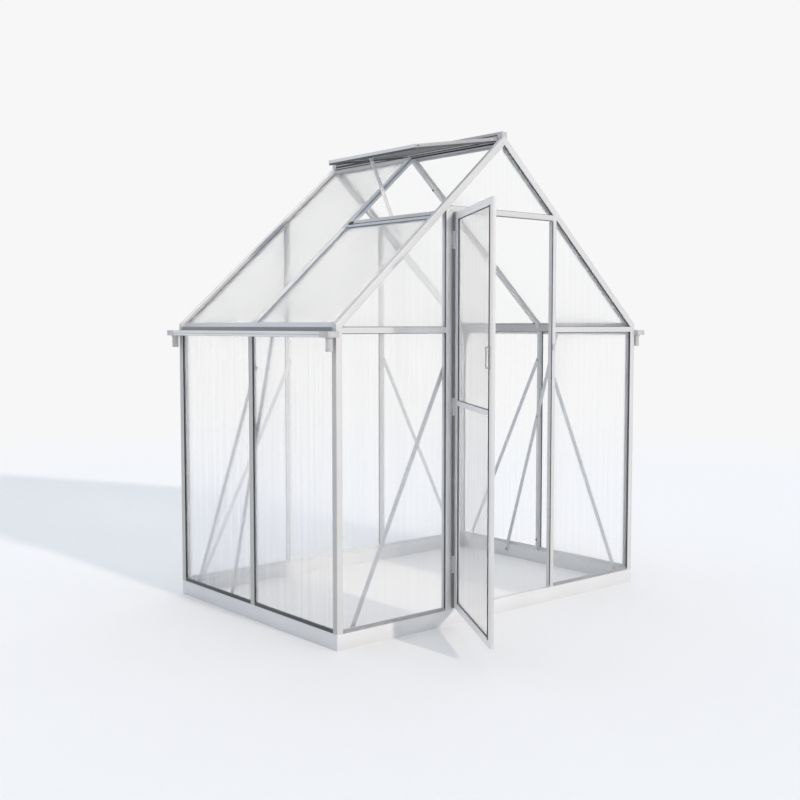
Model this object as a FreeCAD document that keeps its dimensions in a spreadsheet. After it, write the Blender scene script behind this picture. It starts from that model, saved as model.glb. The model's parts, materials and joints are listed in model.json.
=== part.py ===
import FreeCAD, Part
import math
import os
import Sketcher

# Small hobby greenhouse: gable front with a hinged door, two bays deep, one roof vent.
# Frame: X across the gable, Y from the door end to the rear, Z up, origin on the floor at the centre.

os.makedirs("parts", exist_ok=True)
doc = FreeCAD.newDocument("greenhouse")

# Driving sizes in millimetres and degrees
SIZES = {
    # whole frame
    "width": 1900.0,
    "depth": 1280.0,
    "eave_height": 1335.0,
    "roof_pitch": 41.7,
    "base_height": 68.0,
    "base_lip": 16.0,
    "frame_depth": 27.0,
    "post_face": 30.0,
    "bar_face": 30.0,
    "rear_post_spacing": 634.0,
    "tie_height": 25.0,
    # glazing slots, counted from the outside face of a bar
    "flange": 4.0,
    "lip": 3.0,
    "pane": 4.0,
    "pane_play": 0.3,
    "bite": 9.0,
    "edge_play": 1.0,
    # roof
    "roof_drop": 9.0,
    "ridge_width": 30.0,
    "ridge_rise": 18.0,
    "ridge_lip": 16.0,
    "eave_lip": 22.0,
    "sill_web": 16.0,
    "sill_flange": 16.0,
    "sill_depth": 21.0,
    # gutters
    "gutter_width": 55.0,
    "gutter_height": 25.0,
    "gutter_wall": 2.0,
    "gutter_end": 40.0,
    "outlet_length": 62.0,
    "stub_radius": 15.0,
    "stub_bore": 12.5,
    "stub_length": 56.0,
    # braces, bolts and ground brackets
    "brace_width": 22.0,
    "brace_thick": 3.0,
    "brace_end": 12.0,
    "brace_low": 40.0,
    "brace_high": 1138.0,
    "gable_brace_inset": 82.0,
    "long_brace_inset": 95.0,
    "cross_brace_inset": 408.0,
    "cross_brace_reach": 145.0,
    "cross_brace_rise": 12.0,
    "bolt_radius": 3.0,
    "bolt_head_radius": 5.0,
    "bolt_head": 4.0,
    "bolt_grip": 10.0,
    "bolt_play": 0.05,
    "bracket_leg": 36.0,
    "bracket_thick": 4.0,
    "bracket_height": 55.0,
    "anchor_inset": 24.0,
    "anchor_radius": 4.5,
    # door
    "door_opening": 662.0,
    "door_post_face": 22.0,
    "door_jamb": 18.0,
    "door_bolt_inset": 8.0,
    "head_rail": 24.0,
    "door_gap": 4.0,
    "door_floor_gap": 8.0,
    "door_head_gap": 6.0,
    "door_thick": 16.0,
    "door_stile": 30.0,
    "door_mid_rail": 21.0,
    "door_mid_height": 980.0,
    "door_open": 120.6,
    "hinge_stand": 6.0,
    "hinge_height": 75.0,
    "hinge_low": 272.0,
    "hinge_middle": 972.0,
    "hinge_high": 1700.0,
    "hinge_leaf": 3.0,
    "hinge_leaf_width": 22.0,
    "knuckle_radius": 5.0,
    "knuckle_clear": 7.0,
    "knuckle_play": 0.3,
    "hinge_pin_radius": 2.5,
    "pull_height": 84.0,
    "pull_reach": 20.0,
    "pull_bar": 6.0,
    "pull_width": 10.0,
    "pull_inset": 18.0,
    "pull_low": 1164.0,
    "button_height": 1232.0,
    "button_inset": 7.0,
    "button_width": 16.0,
    "button_tail": 9.0,
    "button_tip": 20.0,
    "button_thick": 5.0,
    "button_stud": 14.0,
    # roof vent
    "vent_open": 32.3,
    "vent_run": 389.0,
    "vent_cover": 2.5,
    "vent_thick": 14.0,
    "vent_rail": 24.0,
    "vent_edge_gap": 3.0,
    "vent_seat_gap": 10.2,
    "vent_axis_run": 28.0,
    "vent_tube_radius": 6.5,
    "vent_top_rail": 30.0,
    "vent_lug": 5.0,
    "vent_lug_gap": 0.7,
    "rod_radius": 3.0,
    "stay_length": 374.0,
    "stay_width": 20.0,
    "stay_thick": 3.0,
    "stay_lean": 26.0,
    "stay_corner": 5.0,
    "stay_gap": 0.4,
    "stay_shift": 20.0,
    "stay_drop": 19.0,
    "stay_hole_pitch": 30.0,
    "stay_hole_radius": 3.5,
    "peg_reach": 298.0,
    "peg_radius": 3.0,
}

sheet = doc.addObject("Spreadsheet::Sheet", "dims")
for row, (alias, number) in enumerate(SIZES.items(), start=1):
    sheet.set(f"A{row}", f"{number}")
    sheet.setAlias(f"A{row}", alias)
doc.recompute()


class Formula:
    """A sheet expression that takes part in ordinary arithmetic, with its value beside it."""

    def __init__(self, text, value):
        self.text = text
        self.value = value

    def __add__(self, other):
        other = formula(other)
        return Formula(f"({self.text} + {other.text})", self.value + other.value)

    def __sub__(self, other):
        other = formula(other)
        return Formula(f"({self.text} - {other.text})", self.value - other.value)

    def __mul__(self, other):
        other = formula(other)
        return Formula(f"({self.text} * {other.text})", self.value * other.value)

    def __truediv__(self, other):
        other = formula(other)
        return Formula(f"({self.text} / {other.text})", self.value / other.value)

    def __radd__(self, other):
        return formula(other) + self

    def __rsub__(self, other):
        return formula(other) - self

    def __rmul__(self, other):
        return formula(other) * self

    def __neg__(self):
        return Formula(f"(-{self.text})", -self.value)


def formula(item):
    if isinstance(item, Formula):
        return item
    return Formula(f"({item})", float(item))


def size(alias):
    return Formula(f"dims.{alias}", SIZES[alias])


def sine(angle):
    return Formula(f"sin({angle.text})", math.sin(math.radians(angle.value)))


def cosine(angle):
    return Formula(f"cos({angle.text})", math.cos(math.radians(angle.value)))


def tangent(angle):
    return Formula(f"tan({angle.text})", math.tan(math.radians(angle.value)))


def length_of(run, rise):
    return Formula(f"sqrt({run.text} ^ 2 + {rise.text} ^ 2)", math.hypot(run.value, rise.value))


def angle_of(run, rise):
    return Formula(f"atan2({rise.text}; {run.text})", math.degrees(math.atan2(rise.value, run.value)))


LEFT, RIGHT = -1, 1
FRONT, REAR = -1, 1
HOLES_BELOW_PEG = 2
HOLES_ABOVE_PEG = 7
SIDE_NAMES = {LEFT: "left", RIGHT: "right"}
END_NAMES = {FRONT: "front", REAR: "rear"}

half_width = size("width") / 2
half_depth = size("depth") / 2
pitch = size("roof_pitch")
base_height = size("base_height")
frame_depth = size("frame_depth")
post_face = size("post_face")
half_bar = size("bar_face") / 2
bite = size("bite")
pane_reach = bite - size("edge_play")
web_half = half_bar - bite
flange = size("flange")
slot_end = flange + size("pane") + 2 * size("pane_play")
lip_end = slot_end + size("lip")
pane_near = flange + size("pane_play")
pane_far = pane_near + size("pane")
post_core = post_face - bite


def x_inside(side, inset):
    """X of a plane `inset` inside the outer face of a side wall."""
    return side * (half_width - inset)


def y_inside(end, inset):
    """Y of a plane `inset` inside the outer face of a gable."""
    return end * (half_depth - inset)


def roof_z(run, drop):
    """Height of the roof plane `drop` under the gable rafters, `run` away from the ridge line."""
    return size("eave_height") + (half_width - run) * tangent(pitch) - formula(drop) / cosine(pitch)


ROLES = {"XY": "XY_Plane", "XZ": "XZ_Plane", "YZ": "YZ_Plane"}
nodes = {}


def new_body(label):
    body = doc.addObject("PartDesign::Body", label)
    body.Label = label
    return body


def keep(body):
    nodes[body.Label] = body
    return body


def keep_group(label, members):
    group = doc.addObject("Part::Compound", label)
    group.Label = label
    group.Links = members
    nodes[label] = group


def base_plane(body, plane):
    for feature in body.Origin.OriginFeatures:
        if feature.Role == ROLES[plane]:
            return feature
    raise RuntimeError("no plane " + plane)


def hold_point(sketch, geometry, vertex, point):
    for kind, place in zip(("DistanceX", "DistanceY"), point):
        place = formula(place)
        number = sketch.addConstraint(Sketcher.Constraint(kind, -1, 1, geometry, vertex, place.value))
        sketch.setExpression(f"Constraints[{number}]", place.text)


def draw(body, plane, offset, outline, circles):
    sketch = body.newObject("Sketcher::SketchObject", body.Label + "_sketch")
    sketch.AttachmentSupport = [(base_plane(body, plane), "")]
    sketch.MapMode = "FlatFace"
    sketch.setExpression("AttachmentOffset.Base.z", offset.text)
    corners = [FreeCAD.Vector(formula(u).value, formula(v).value, 0) for u, v in outline]
    count = len(corners)
    for index in range(count):
        sketch.addGeometry(Part.LineSegment(corners[index], corners[(index + 1) % count]), False)
    for index in range(count):
        sketch.addConstraint(Sketcher.Constraint("Coincident", index, 2, (index + 1) % count, 1))
    for index, point in enumerate(outline):
        hold_point(sketch, index, 1, point)
    for u, v, radius in circles:
        centre = FreeCAD.Vector(formula(u).value, formula(v).value, 0)
        circle = sketch.addGeometry(Part.Circle(centre, FreeCAD.Vector(0, 0, 1), radius.value), False)
        hold_point(sketch, circle, 3, (u, v))
        number = sketch.addConstraint(Sketcher.Constraint("Radius", circle, radius.value))
        sketch.setExpression(f"Constraints[{number}]", radius.text)
    return sketch


def ordered(first, second):
    first = formula(first)
    second = formula(second)
    if first.value <= second.value:
        return first, second
    return second, first


def prism(body, plane, outline, first, second, circles=()):
    """Pad an outline drawn in a plane of the frame between two positions along its normal."""
    low, high = ordered(first, second)
    offset = -high if plane == "XZ" else low
    sketch = draw(body, plane, offset, outline, circles)
    pad = body.newObject("PartDesign::Pad", body.Label + "_pad")
    pad.Profile = sketch
    pad.setExpression("Length", (high - low).text)
    return body


def cut(body, plane, outline, first, second, circles=()):
    """Pocket an outline drawn in a plane of the frame between two positions along its normal."""
    low, high = ordered(first, second)
    offset = -low if plane == "XZ" else high
    sketch = draw(body, plane, offset, outline, circles)
    pocket = body.newObject("PartDesign::Pocket", body.Label + "_pocket")
    pocket.Profile = sketch
    pocket.setExpression("Length", (high - low).text)
    return body


def rectangle(u0, v0, u1, v1):
    return [(u0, v0), (u1, v0), (u1, v1), (u0, v1)]


def set_place(body, x, y, z, axis, angle):
    """Place a body by its own origin and one turn, all tied to the sheet."""
    turn = FreeCAD.Rotation(FreeCAD.Vector(*axis), angle.value)
    body.Placement = FreeCAD.Placement(FreeCAD.Vector(0, 0, 0), turn)
    for name, place in zip("xyz", (x, y, z)):
        body.setExpression("Placement.Base." + name, formula(place).text)
    body.setExpression("Placement.Rotation.Angle", angle.text)


def bar_section(face):
    """Corners of a glazing bar as (across, depth): outer flange, pane slots, inner lips and web."""
    half = face / 2
    web = half - bite
    right = [(half, 0), (half, flange), (web, flange), (web, slot_end), (half, slot_end),
             (half, lip_end), (web, lip_end), (web, frame_depth)]
    left = [(-across, deep) for across, deep in reversed(right)]
    return right + left


# Heights that follow from the roof line
tie_top = roof_z(half_width - post_face, post_face)
tie_low = tie_top - size("tie_height")
door_half = size("door_opening") / 2
hinge_run = door_half - size("door_jamb")
door_post_outer = door_half + size("door_post_face")
head_top = roof_z(door_half, post_face)
head_low = head_top - size("head_rail")
rear_post = size("rear_post_spacing") / 2
apex = roof_z(0, 0)
bolt_hole = size("bolt_radius") + size("bolt_play")
bolt_grip = size("bolt_grip")
brace_low = size("brace_low")
brace_high = size("brace_high")

# Base rails: the gable rails run corner to corner, the side rails fit between them.
# Each carries a thin lip that backs the foot of the panes.
gable_bays = {
    FRONT: [(x_inside(LEFT, post_face), -door_post_outer), (door_post_outer, x_inside(RIGHT, post_face))],
    REAR: [(x_inside(LEFT, post_face), -rear_post - half_bar),
           (-rear_post + half_bar, rear_post - half_bar),
           (rear_post + half_bar, x_inside(RIGHT, post_face))],
}
lip_top = base_height + size("base_lip")
for end in (FRONT, REAR):
    rail = new_body("base_rail_" + END_NAMES[end])
    box = rectangle(y_inside(end, 0), 0, y_inside(end, frame_depth), base_height)
    prism(rail, "YZ", box, x_inside(LEFT, 0), x_inside(RIGHT, 0))
    lip = rectangle(y_inside(end, slot_end), base_height, y_inside(end, lip_end), lip_top)
    for first, second in gable_bays[end]:
        prism(rail, "YZ", lip, first, second)
    for side in (LEFT, RIGHT):
        hole = (x_inside(side, size("gable_brace_inset")), brace_low, bolt_hole)
        cut(rail, "XZ", [], y_inside(end, frame_depth), y_inside(end, frame_depth - bolt_grip), [hole])
    keep(rail)
side_bays = [(y_inside(FRONT, post_face), -half_bar), (half_bar, y_inside(REAR, post_face))]
for side in (LEFT, RIGHT):
    rail = new_body("base_rail_" + SIDE_NAMES[side])
    box = rectangle(x_inside(side, 0), 0, x_inside(side, frame_depth), base_height)
    prism(rail, "XZ", box, y_inside(FRONT, frame_depth), y_inside(REAR, frame_depth))
    lip = rectangle(x_inside(side, slot_end), base_height, x_inside(side, lip_end), lip_top)
    for first, second in side_bays:
        prism(rail, "XZ", lip, first, second)
    for inset in (size("long_brace_inset"), size("cross_brace_inset")):
        hole = (y_inside(REAR, inset), brace_low, bolt_hole)
        cut(rail, "YZ", [], x_inside(side, frame_depth), x_inside(side, frame_depth - bolt_grip), [hole])
    keep(rail)

# Ground brackets stand inside the four base corners, each with one anchor hole in its foot.
brackets = []
leg_end = frame_depth + size("bracket_leg")
leg_back = frame_depth + size("bracket_thick")
anchor = frame_depth + size("anchor_inset")
for end in (FRONT, REAR):
    for side in (LEFT, RIGHT):
        bracket = new_body(f"base_corner_bracket_{END_NAMES[end]}_{SIDE_NAMES[side]}")
        angle_corners = [(frame_depth, frame_depth), (leg_end, frame_depth), (leg_end, leg_back),
                         (leg_back, leg_back), (leg_back, leg_end), (frame_depth, leg_end)]
        outline = [(x_inside(side, u), y_inside(end, v)) for u, v in angle_corners]
        prism(bracket, "XY", outline, 0, size("bracket_height"))
        foot = rectangle(x_inside(side, frame_depth), y_inside(end, frame_depth),
                         x_inside(side, leg_end), y_inside(end, leg_end))
        prism(bracket, "XY", foot, 0, size("bracket_thick"))
        hole = (x_inside(side, anchor), y_inside(end, anchor), size("anchor_radius"))
        cut(bracket, "XY", [], 0, size("bracket_thick"), [hole])
        brackets.append(bracket)
keep_group("base_corner_brackets", brackets)


def trim_to_rafter(post, side, end, inner_run, outer_run):
    """Cut the head of a gable post along the underside of its rafter."""
    spare = post_face
    outline = [(side * (inner_run - spare), roof_z(inner_run - spare, post_face)),
               (side * (outer_run + spare), roof_z(outer_run + spare, post_face)),
               (side * (outer_run + spare), roof_z(inner_run - spare, post_face) + spare),
               (side * (inner_run - spare), roof_z(inner_run - spare, post_face) + spare)]
    cut(post, "XZ", outline, y_inside(end, 0), y_inside(end, 2 * post_face))


# Corner posts: a core with a flange on each outside face and a slot for each wall's pane
corner_corners = [(0, 0), (post_face, 0), (post_face, flange), (post_core, flange), (post_core, slot_end),
                  (post_face, slot_end), (post_face, lip_end), (post_core, lip_end), (post_core, post_core),
                  (lip_end, post_core), (lip_end, post_face), (slot_end, post_face), (slot_end, post_core),
                  (flange, post_core), (flange, post_face), (0, post_face)]
for end in (FRONT, REAR):
    for side in (LEFT, RIGHT):
        post = new_body(f"corner_post_{END_NAMES[end]}_{SIDE_NAMES[side]}")
        outline = [(x_inside(side, u), y_inside(end, v)) for u, v in corner_corners]
        prism(post, "XY", outline, base_height, tie_top)
        trim_to_rafter(post, side, end, half_width - post_face, half_width)
        keep(post)

# Side posts carry the long brace and the cross brace on their inner edge.
eave_low = tie_low
cross_top = eave_low + size("cross_brace_rise")
cross_foot = y_inside(REAR, size("cross_brace_inset"))
cross_head = -size("cross_brace_reach")
cross_share = cross_foot / (cross_foot - cross_head)
cross_mid = brace_low + cross_share * (cross_top - brace_low)
for side in (LEFT, RIGHT):
    post = new_body("side_post_" + SIDE_NAMES[side])
    outline = [(x_inside(side, deep), across) for across, deep in bar_section(size("bar_face"))]
    prism(post, "XY", outline, base_height, eave_low)
    for height in (brace_high, cross_mid):
        cut(post, "YZ", [], x_inside(side, frame_depth), x_inside(side, frame_depth - bolt_grip),
            [(0, height, bolt_hole)])
    keep(post)

# Door posts: a slot on the side of the fixed pane, a plain face towards the door.
# The left one carries a jamb under the head rail, and the hinges sit on its edge.
door_post_web = door_post_outer - bite
door_bolt_run = door_post_outer - size("door_bolt_inset")
door_post_corners = [(door_half, 0), (door_post_outer, 0), (door_post_outer, flange), (door_post_web, flange),
                     (door_post_web, slot_end), (door_post_outer, slot_end), (door_post_outer, frame_depth),
                     (door_half, frame_depth)]
button_run = door_half + size("button_inset")
button_height = size("button_height")
for side in (LEFT, RIGHT):
    post = new_body("door_post_" + SIDE_NAMES[side])
    outline = [(side * run, y_inside(FRONT, deep)) for run, deep in door_post_corners]
    prism(post, "XY", outline, base_height, head_top)
    trim_to_rafter(post, side, FRONT, door_half, door_post_outer)
    if side == LEFT:
        jamb = rectangle(-door_half, y_inside(FRONT, 0), -hinge_run, y_inside(FRONT, frame_depth))
        prism(post, "XY", jamb, base_height, head_low)
    cut(post, "XZ", [], y_inside(FRONT, frame_depth), y_inside(FRONT, frame_depth - bolt_grip),
        [(side * door_bolt_run, brace_high, bolt_hole)])
    if side == RIGHT:
        cut(post, "XZ", [], y_inside(FRONT, 0), y_inside(FRONT, size("button_stud")),
            [(button_run, button_height, bolt_hole)])
    keep(post)

# Rear posts
for side in (LEFT, RIGHT):
    post = new_body("rear_post_" + SIDE_NAMES[side])
    section = bar_section(size("bar_face"))
    outline = [(side * rear_post + across, y_inside(REAR, deep)) for across, deep in section]
    prism(post, "XY", outline, base_height, roof_z(rear_post - half_bar, post_face))
    trim_to_rafter(post, side, REAR, rear_post - half_bar, rear_post + half_bar)
    cut(post, "XZ", [], y_inside(REAR, frame_depth), y_inside(REAR, frame_depth - bolt_grip),
        [(side * rear_post, brace_high, bolt_hole)])
    keep(post)

# Tie beams at the eaves, slotted above and below, and the door head with a slot above
tie_mid = (tie_top + tie_low) / 2
tie_beams = {FRONT: [], REAR: []}
for end in (FRONT, REAR):
    outline = [(y_inside(end, deep), tie_mid + across) for across, deep in bar_section(size("tie_height"))]
    for number, (first, second) in enumerate(gable_bays[end], start=1):
        beam = new_body(f"tie_beam_{END_NAMES[end]}_{number}")
        prism(beam, "YZ", outline, first, second)
        tie_beams[end].append(beam)
    keep_group("tie_beams_" + END_NAMES[end], tie_beams[end])
head = new_body("door_head_rail")
head_corners = [(0, head_low), (0, head_top), (flange, head_top), (flange, head_top - bite),
                (slot_end, head_top - bite), (slot_end, head_top), (lip_end, head_top),
                (lip_end, head_top - bite), (frame_depth, head_top - bite), (frame_depth, head_low)]
prism(head, "YZ", [(y_inside(FRONT, deep), height) for deep, height in head_corners], -door_half, door_half)
keep(head)

# Roof build-up: the roof bars and sheets lie a step under the gable rafters.
roof_drop = size("roof_drop")
roof_flange = roof_drop + flange
roof_slot = roof_drop + slot_end
roof_lip = roof_drop + lip_end
roof_bar = roof_drop + frame_depth
ridge_half = size("ridge_width") / 2
ridge_lip_run = ridge_half + size("ridge_lip")
eave_lip_run = half_width - size("eave_lip")
eave_inner_run = half_width - frame_depth


def slope_band(side, run0, run1, drop0, drop1):
    """Outline of a band parallel to the roof with plumb ends."""
    return [(side * run0, roof_z(run0, drop0)), (side * run1, roof_z(run1, drop0)),
            (side * run1, roof_z(run1, drop1)), (side * run0, roof_z(run0, drop1))]


for end in (FRONT, REAR):
    for side in (LEFT, RIGHT):
        rafter = new_body(f"rafter_{END_NAMES[end]}_{SIDE_NAMES[side]}")
        for near, far, drop0, drop1 in ((0, flange, 0, post_face), (flange, post_core, 0, post_core),
                                        (slot_end, lip_end, post_core, post_face),
                                        (post_core, post_face, roof_drop, roof_flange),
                                        (post_core, post_face, roof_slot, roof_lip)):
            band = slope_band(side, formula(0), half_width, formula(drop0), drop1)
            prism(rafter, "XZ", band, y_inside(end, near), y_inside(end, far))
        keep(rafter)
for side in (LEFT, RIGHT):
    rafter = new_body("rafter_middle_" + SIDE_NAMES[side])
    for drop0, drop1, half in ((roof_drop, roof_slot, web_half), (roof_drop, roof_flange, half_bar)):
        prism(rafter, "XZ", slope_band(side, ridge_lip_run, eave_lip_run, drop0, drop1), -half, half)
    for drop0, drop1, half in ((roof_slot, roof_bar, web_half), (roof_slot, roof_lip, half_bar)):
        prism(rafter, "XZ", slope_band(side, formula(0), eave_inner_run, drop0, drop1), -half, half)
    keep(rafter)

# Eave beams: a sloping lip over the roof sheets, a slot below for the side panes
for side in (LEFT, RIGHT):
    beam = new_body("eave_beam_" + SIDE_NAMES[side])
    slot_run = half_width - flange
    profile = [(half_width, eave_low), (half_width, roof_z(half_width, roof_drop)),
               (eave_lip_run, roof_z(eave_lip_run, roof_drop)),
               (eave_lip_run, roof_z(eave_lip_run, roof_flange)),
               (slot_run, roof_z(slot_run, roof_flange)), (slot_run, roof_z(slot_run, roof_slot)),
               (eave_inner_run, roof_z(eave_inner_run, roof_slot)), (eave_inner_run, eave_low),
               (half_width - slot_end, eave_low), (half_width - slot_end, eave_low + bite),
               (slot_run, eave_low + bite), (slot_run, eave_low)]
    outline = [(side * run, height) for run, height in profile]
    prism(beam, "XZ", outline, y_inside(FRONT, post_face), y_inside(REAR, post_face))
    cut(beam, "YZ", [], x_inside(side, frame_depth), x_inside(side, frame_depth - bolt_grip),
        [(cross_head, cross_top, bolt_hole)])
    keep(beam)

# Vent hinge line and the vent's own sizes, needed by the ridge and the sill
vent_seat = roof_drop - size("vent_seat_gap")
vent_low = size("vent_tube_radius")
vent_high = size("vent_thick") - vent_low
axis_run = size("vent_axis_run")
axis_z = roof_z(axis_run, vent_seat - vent_low)
vent_front = y_inside(FRONT, post_core + size("vent_edge_gap"))
vent_rear = -size("edge_play") * 2
lug = size("vent_lug")
lug_gap = size("vent_lug_gap")
lug_front = y_inside(FRONT, post_face)
lug_rear = vent_rear
tube_front = lug_front + lug + lug_gap
tube_rear = lug_rear - lug - lug_gap
rod_radius = size("rod_radius")
rod_hole = rod_radius + size("bolt_play")
vent_length = ((size("vent_run") + size("vent_cover") - axis_run) + vent_low * sine(pitch)) / cosine(pitch)
vent_slope = size("vent_open") - pitch
stay_y = (vent_front + vent_rear) / 2 + size("stay_shift")

# Ridge beam, seated on the rafters that meet under it, with sheet lips and two lugs for the vent's hinge rod
ridge = new_body("ridge_beam")
ridge_top = apex + size("ridge_rise")
ridge_foot = roof_z(ridge_half, roof_slot)
ridge_outline = [(-ridge_half, ridge_foot), (0, roof_z(0, roof_slot)), (ridge_half, ridge_foot),
                 (ridge_half, ridge_top), (-ridge_half, ridge_top)]
prism(ridge, "XZ", ridge_outline, y_inside(FRONT, post_face), y_inside(REAR, post_face))
for side, first in ((RIGHT, y_inside(FRONT, post_face)), (LEFT, -half_bar)):
    band = slope_band(side, ridge_half, ridge_lip_run, roof_drop, roof_flange)
    prism(ridge, "XZ", band, first, y_inside(REAR, post_face))
lug_half = vent_low + size("lip") / 2
for first, second in ((lug_front, lug_front + lug), (lug_rear - lug, lug_rear)):
    block = rectangle(-ridge_half, axis_z - lug_half, -axis_run - lug_half, axis_z + lug_half)
    prism(ridge, "XZ", block, first, second)
    cut(ridge, "XZ", [], first, second, [(-axis_run, axis_z, rod_hole)])
keep(ridge)
caps = []
for end in (FRONT, REAR):
    cap = new_body("ridge_end_cap_" + END_NAMES[end])
    shoulder = roof_z(ridge_half, 0)
    outline = [(-ridge_half, shoulder), (0, apex), (ridge_half, shoulder), (ridge_half, ridge_top),
               (-ridge_half, ridge_top)]
    prism(cap, "XZ", outline, y_inside(end, 0), y_inside(end, post_face))
    caps.append(cap)
keep_group("ridge_end_caps", caps)
rod = new_body("vent_hinge_rod")
prism(rod, "XZ", [], lug_front, lug_rear, [(-axis_run, axis_z, rod_radius)])
keep(rod)

# Sill bar under the vent, slotted for the sheet below it
sill = new_body("vent_sill")
sill_top = size("vent_run")
sill_mid = sill_top + size("sill_web")
sill_end = sill_mid + size("sill_flange")
sill_drop = roof_drop + size("sill_depth")
sill_profile = [(sill_top, roof_drop), (sill_end, roof_drop), (sill_end, roof_flange), (sill_mid, roof_flange),
                (sill_mid, roof_slot), (sill_end, roof_slot), (sill_end, roof_lip), (sill_mid, roof_lip),
                (sill_mid, sill_drop), (sill_top, sill_drop)]
prism(sill, "XZ", [(-run, roof_z(run, drop)) for run, drop in sill_profile],
      y_inside(FRONT, post_face), -half_bar)
keep(sill)

# Gutters hang on the eaves; a fitting with a downward stub closes each end.
gutter_top = eave_low + bite
gutter_low = gutter_top - size("gutter_height")
wall = size("gutter_wall")
gutter_width = size("gutter_width")
trough = [(0, gutter_top), (wall, gutter_top), (wall, gutter_low + wall),
          (gutter_width - wall, gutter_low + wall), (gutter_width - wall, gutter_top),
          (gutter_width, gutter_top), (gutter_width, gutter_low), (0, gutter_low)]
outlets = []
outlet_start = size("gutter_end")
outlet_stop = outlet_start - size("outlet_length")
outlet_mid = (outlet_start + outlet_stop) / 2
for side in (LEFT, RIGHT):
    outline = [(x_inside(side, -out), height) for out, height in trough]
    gutter = new_body("gutter_" + SIDE_NAMES[side])
    prism(gutter, "XZ", outline, y_inside(FRONT, outlet_start), y_inside(REAR, outlet_start))
    keep(gutter)
    for end in (FRONT, REAR):
        outlet = new_body(f"gutter_outlet_{END_NAMES[end]}_{SIDE_NAMES[side]}")
        prism(outlet, "XZ", outline, y_inside(end, outlet_start), y_inside(end, outlet_stop + wall))
        plate = rectangle(x_inside(side, 0), gutter_low, x_inside(side, -gutter_width), gutter_top)
        prism(outlet, "XZ", plate, y_inside(end, outlet_stop + wall), y_inside(end, outlet_stop))
        centre = (x_inside(side, -gutter_width / 2), y_inside(end, outlet_mid))
        stub_low = gutter_low - size("stub_length")
        prism(outlet, "XY", [], stub_low, gutter_low, [(*centre, size("stub_radius"))])
        cut(outlet, "XY", [], stub_low, gutter_low + wall, [(*centre, size("stub_bore"))])
        outlets.append(outlet)
keep_group("gutter_outlets", outlets)

# Flat braces on the inner faces, each fixed with bolts
bolts = []
brace_thick = size("brace_thick")


def add_bolt(plane, point, face, inward):
    """Bolt through a brace into the bar behind it; `inward` points to the inside of the house."""
    bolt = new_body(f"brace_bolt_{len(bolts) + 1}")
    brace_face = face + inward * brace_thick
    shank = (*point, size("bolt_radius"))
    cap = (*point, size("bolt_head_radius"))
    prism(bolt, plane, [], face - inward * (bolt_grip - size("pane_play")), brace_face, [shank])
    prism(bolt, plane, [], brace_face, brace_face + inward * size("bolt_head"), [cap])
    bolts.append(bolt)


def add_brace(label, plane, face, inward, foot, head, middles=()):
    """Flat bar from foot to head; its own X (or Y) axis runs along it from the foot hole."""
    brace = new_body(label)
    run = head[0] - foot[0]
    rise = head[1] - foot[1]
    reach = length_of(run, rise)
    half = size("brace_width") / 2
    spare = size("brace_end")
    holes = [(formula(0), 0, bolt_hole), (reach, 0, bolt_hole)]
    for middle in middles:
        holes.append((length_of(middle[0] - foot[0], middle[1] - foot[1]), 0, bolt_hole))
    prism(brace, plane, rectangle(-spare, -half, reach + spare, half), 0, inward * brace_thick, holes)
    if plane == "XZ":
        set_place(brace, foot[0], face, foot[1], (0, 1, 0), -angle_of(run, rise))
    else:
        set_place(brace, face, foot[0], foot[1], (1, 0, 0), angle_of(run, rise))
    for point in (foot, head, *middles):
        add_bolt(plane, point, face, inward)
    return brace


gable_braces = []
for end in (FRONT, REAR):
    for side in (LEFT, RIGHT):
        head_run = door_bolt_run if end == FRONT else rear_post
        foot = (x_inside(side, size("gable_brace_inset")), brace_low)
        gable_braces.append(add_brace(f"gable_brace_{END_NAMES[end]}_{SIDE_NAMES[side]}", "XZ",
                                      y_inside(end, frame_depth), -end, foot, (side * head_run, brace_high)))
keep_group("gable_braces", gable_braces)
side_braces = []
for side in (LEFT, RIGHT):
    face = x_inside(side, frame_depth)
    long_foot = (y_inside(REAR, size("long_brace_inset")), brace_low)
    side_braces.append(add_brace(f"side_brace_long_{SIDE_NAMES[side]}", "YZ", face, -side,
                                 long_foot, (formula(0), brace_high)))
    side_braces.append(add_brace(f"side_brace_cross_{SIDE_NAMES[side]}", "YZ", face, -side,
                                 (cross_foot, brace_low), (cross_head, cross_top), [(formula(0), cross_mid)]))
keep_group("side_braces", side_braces)
keep_group("brace_bolts", bolts)

# Wall panes stand on the base rails and reach into the slots of the bars around them.
pane_foot = base_height + size("pane_play")


def gable_pane(label, end, outline):
    pane = new_body(label)
    return prism(pane, "XZ", outline, y_inside(end, pane_near), y_inside(end, pane_far))


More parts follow.
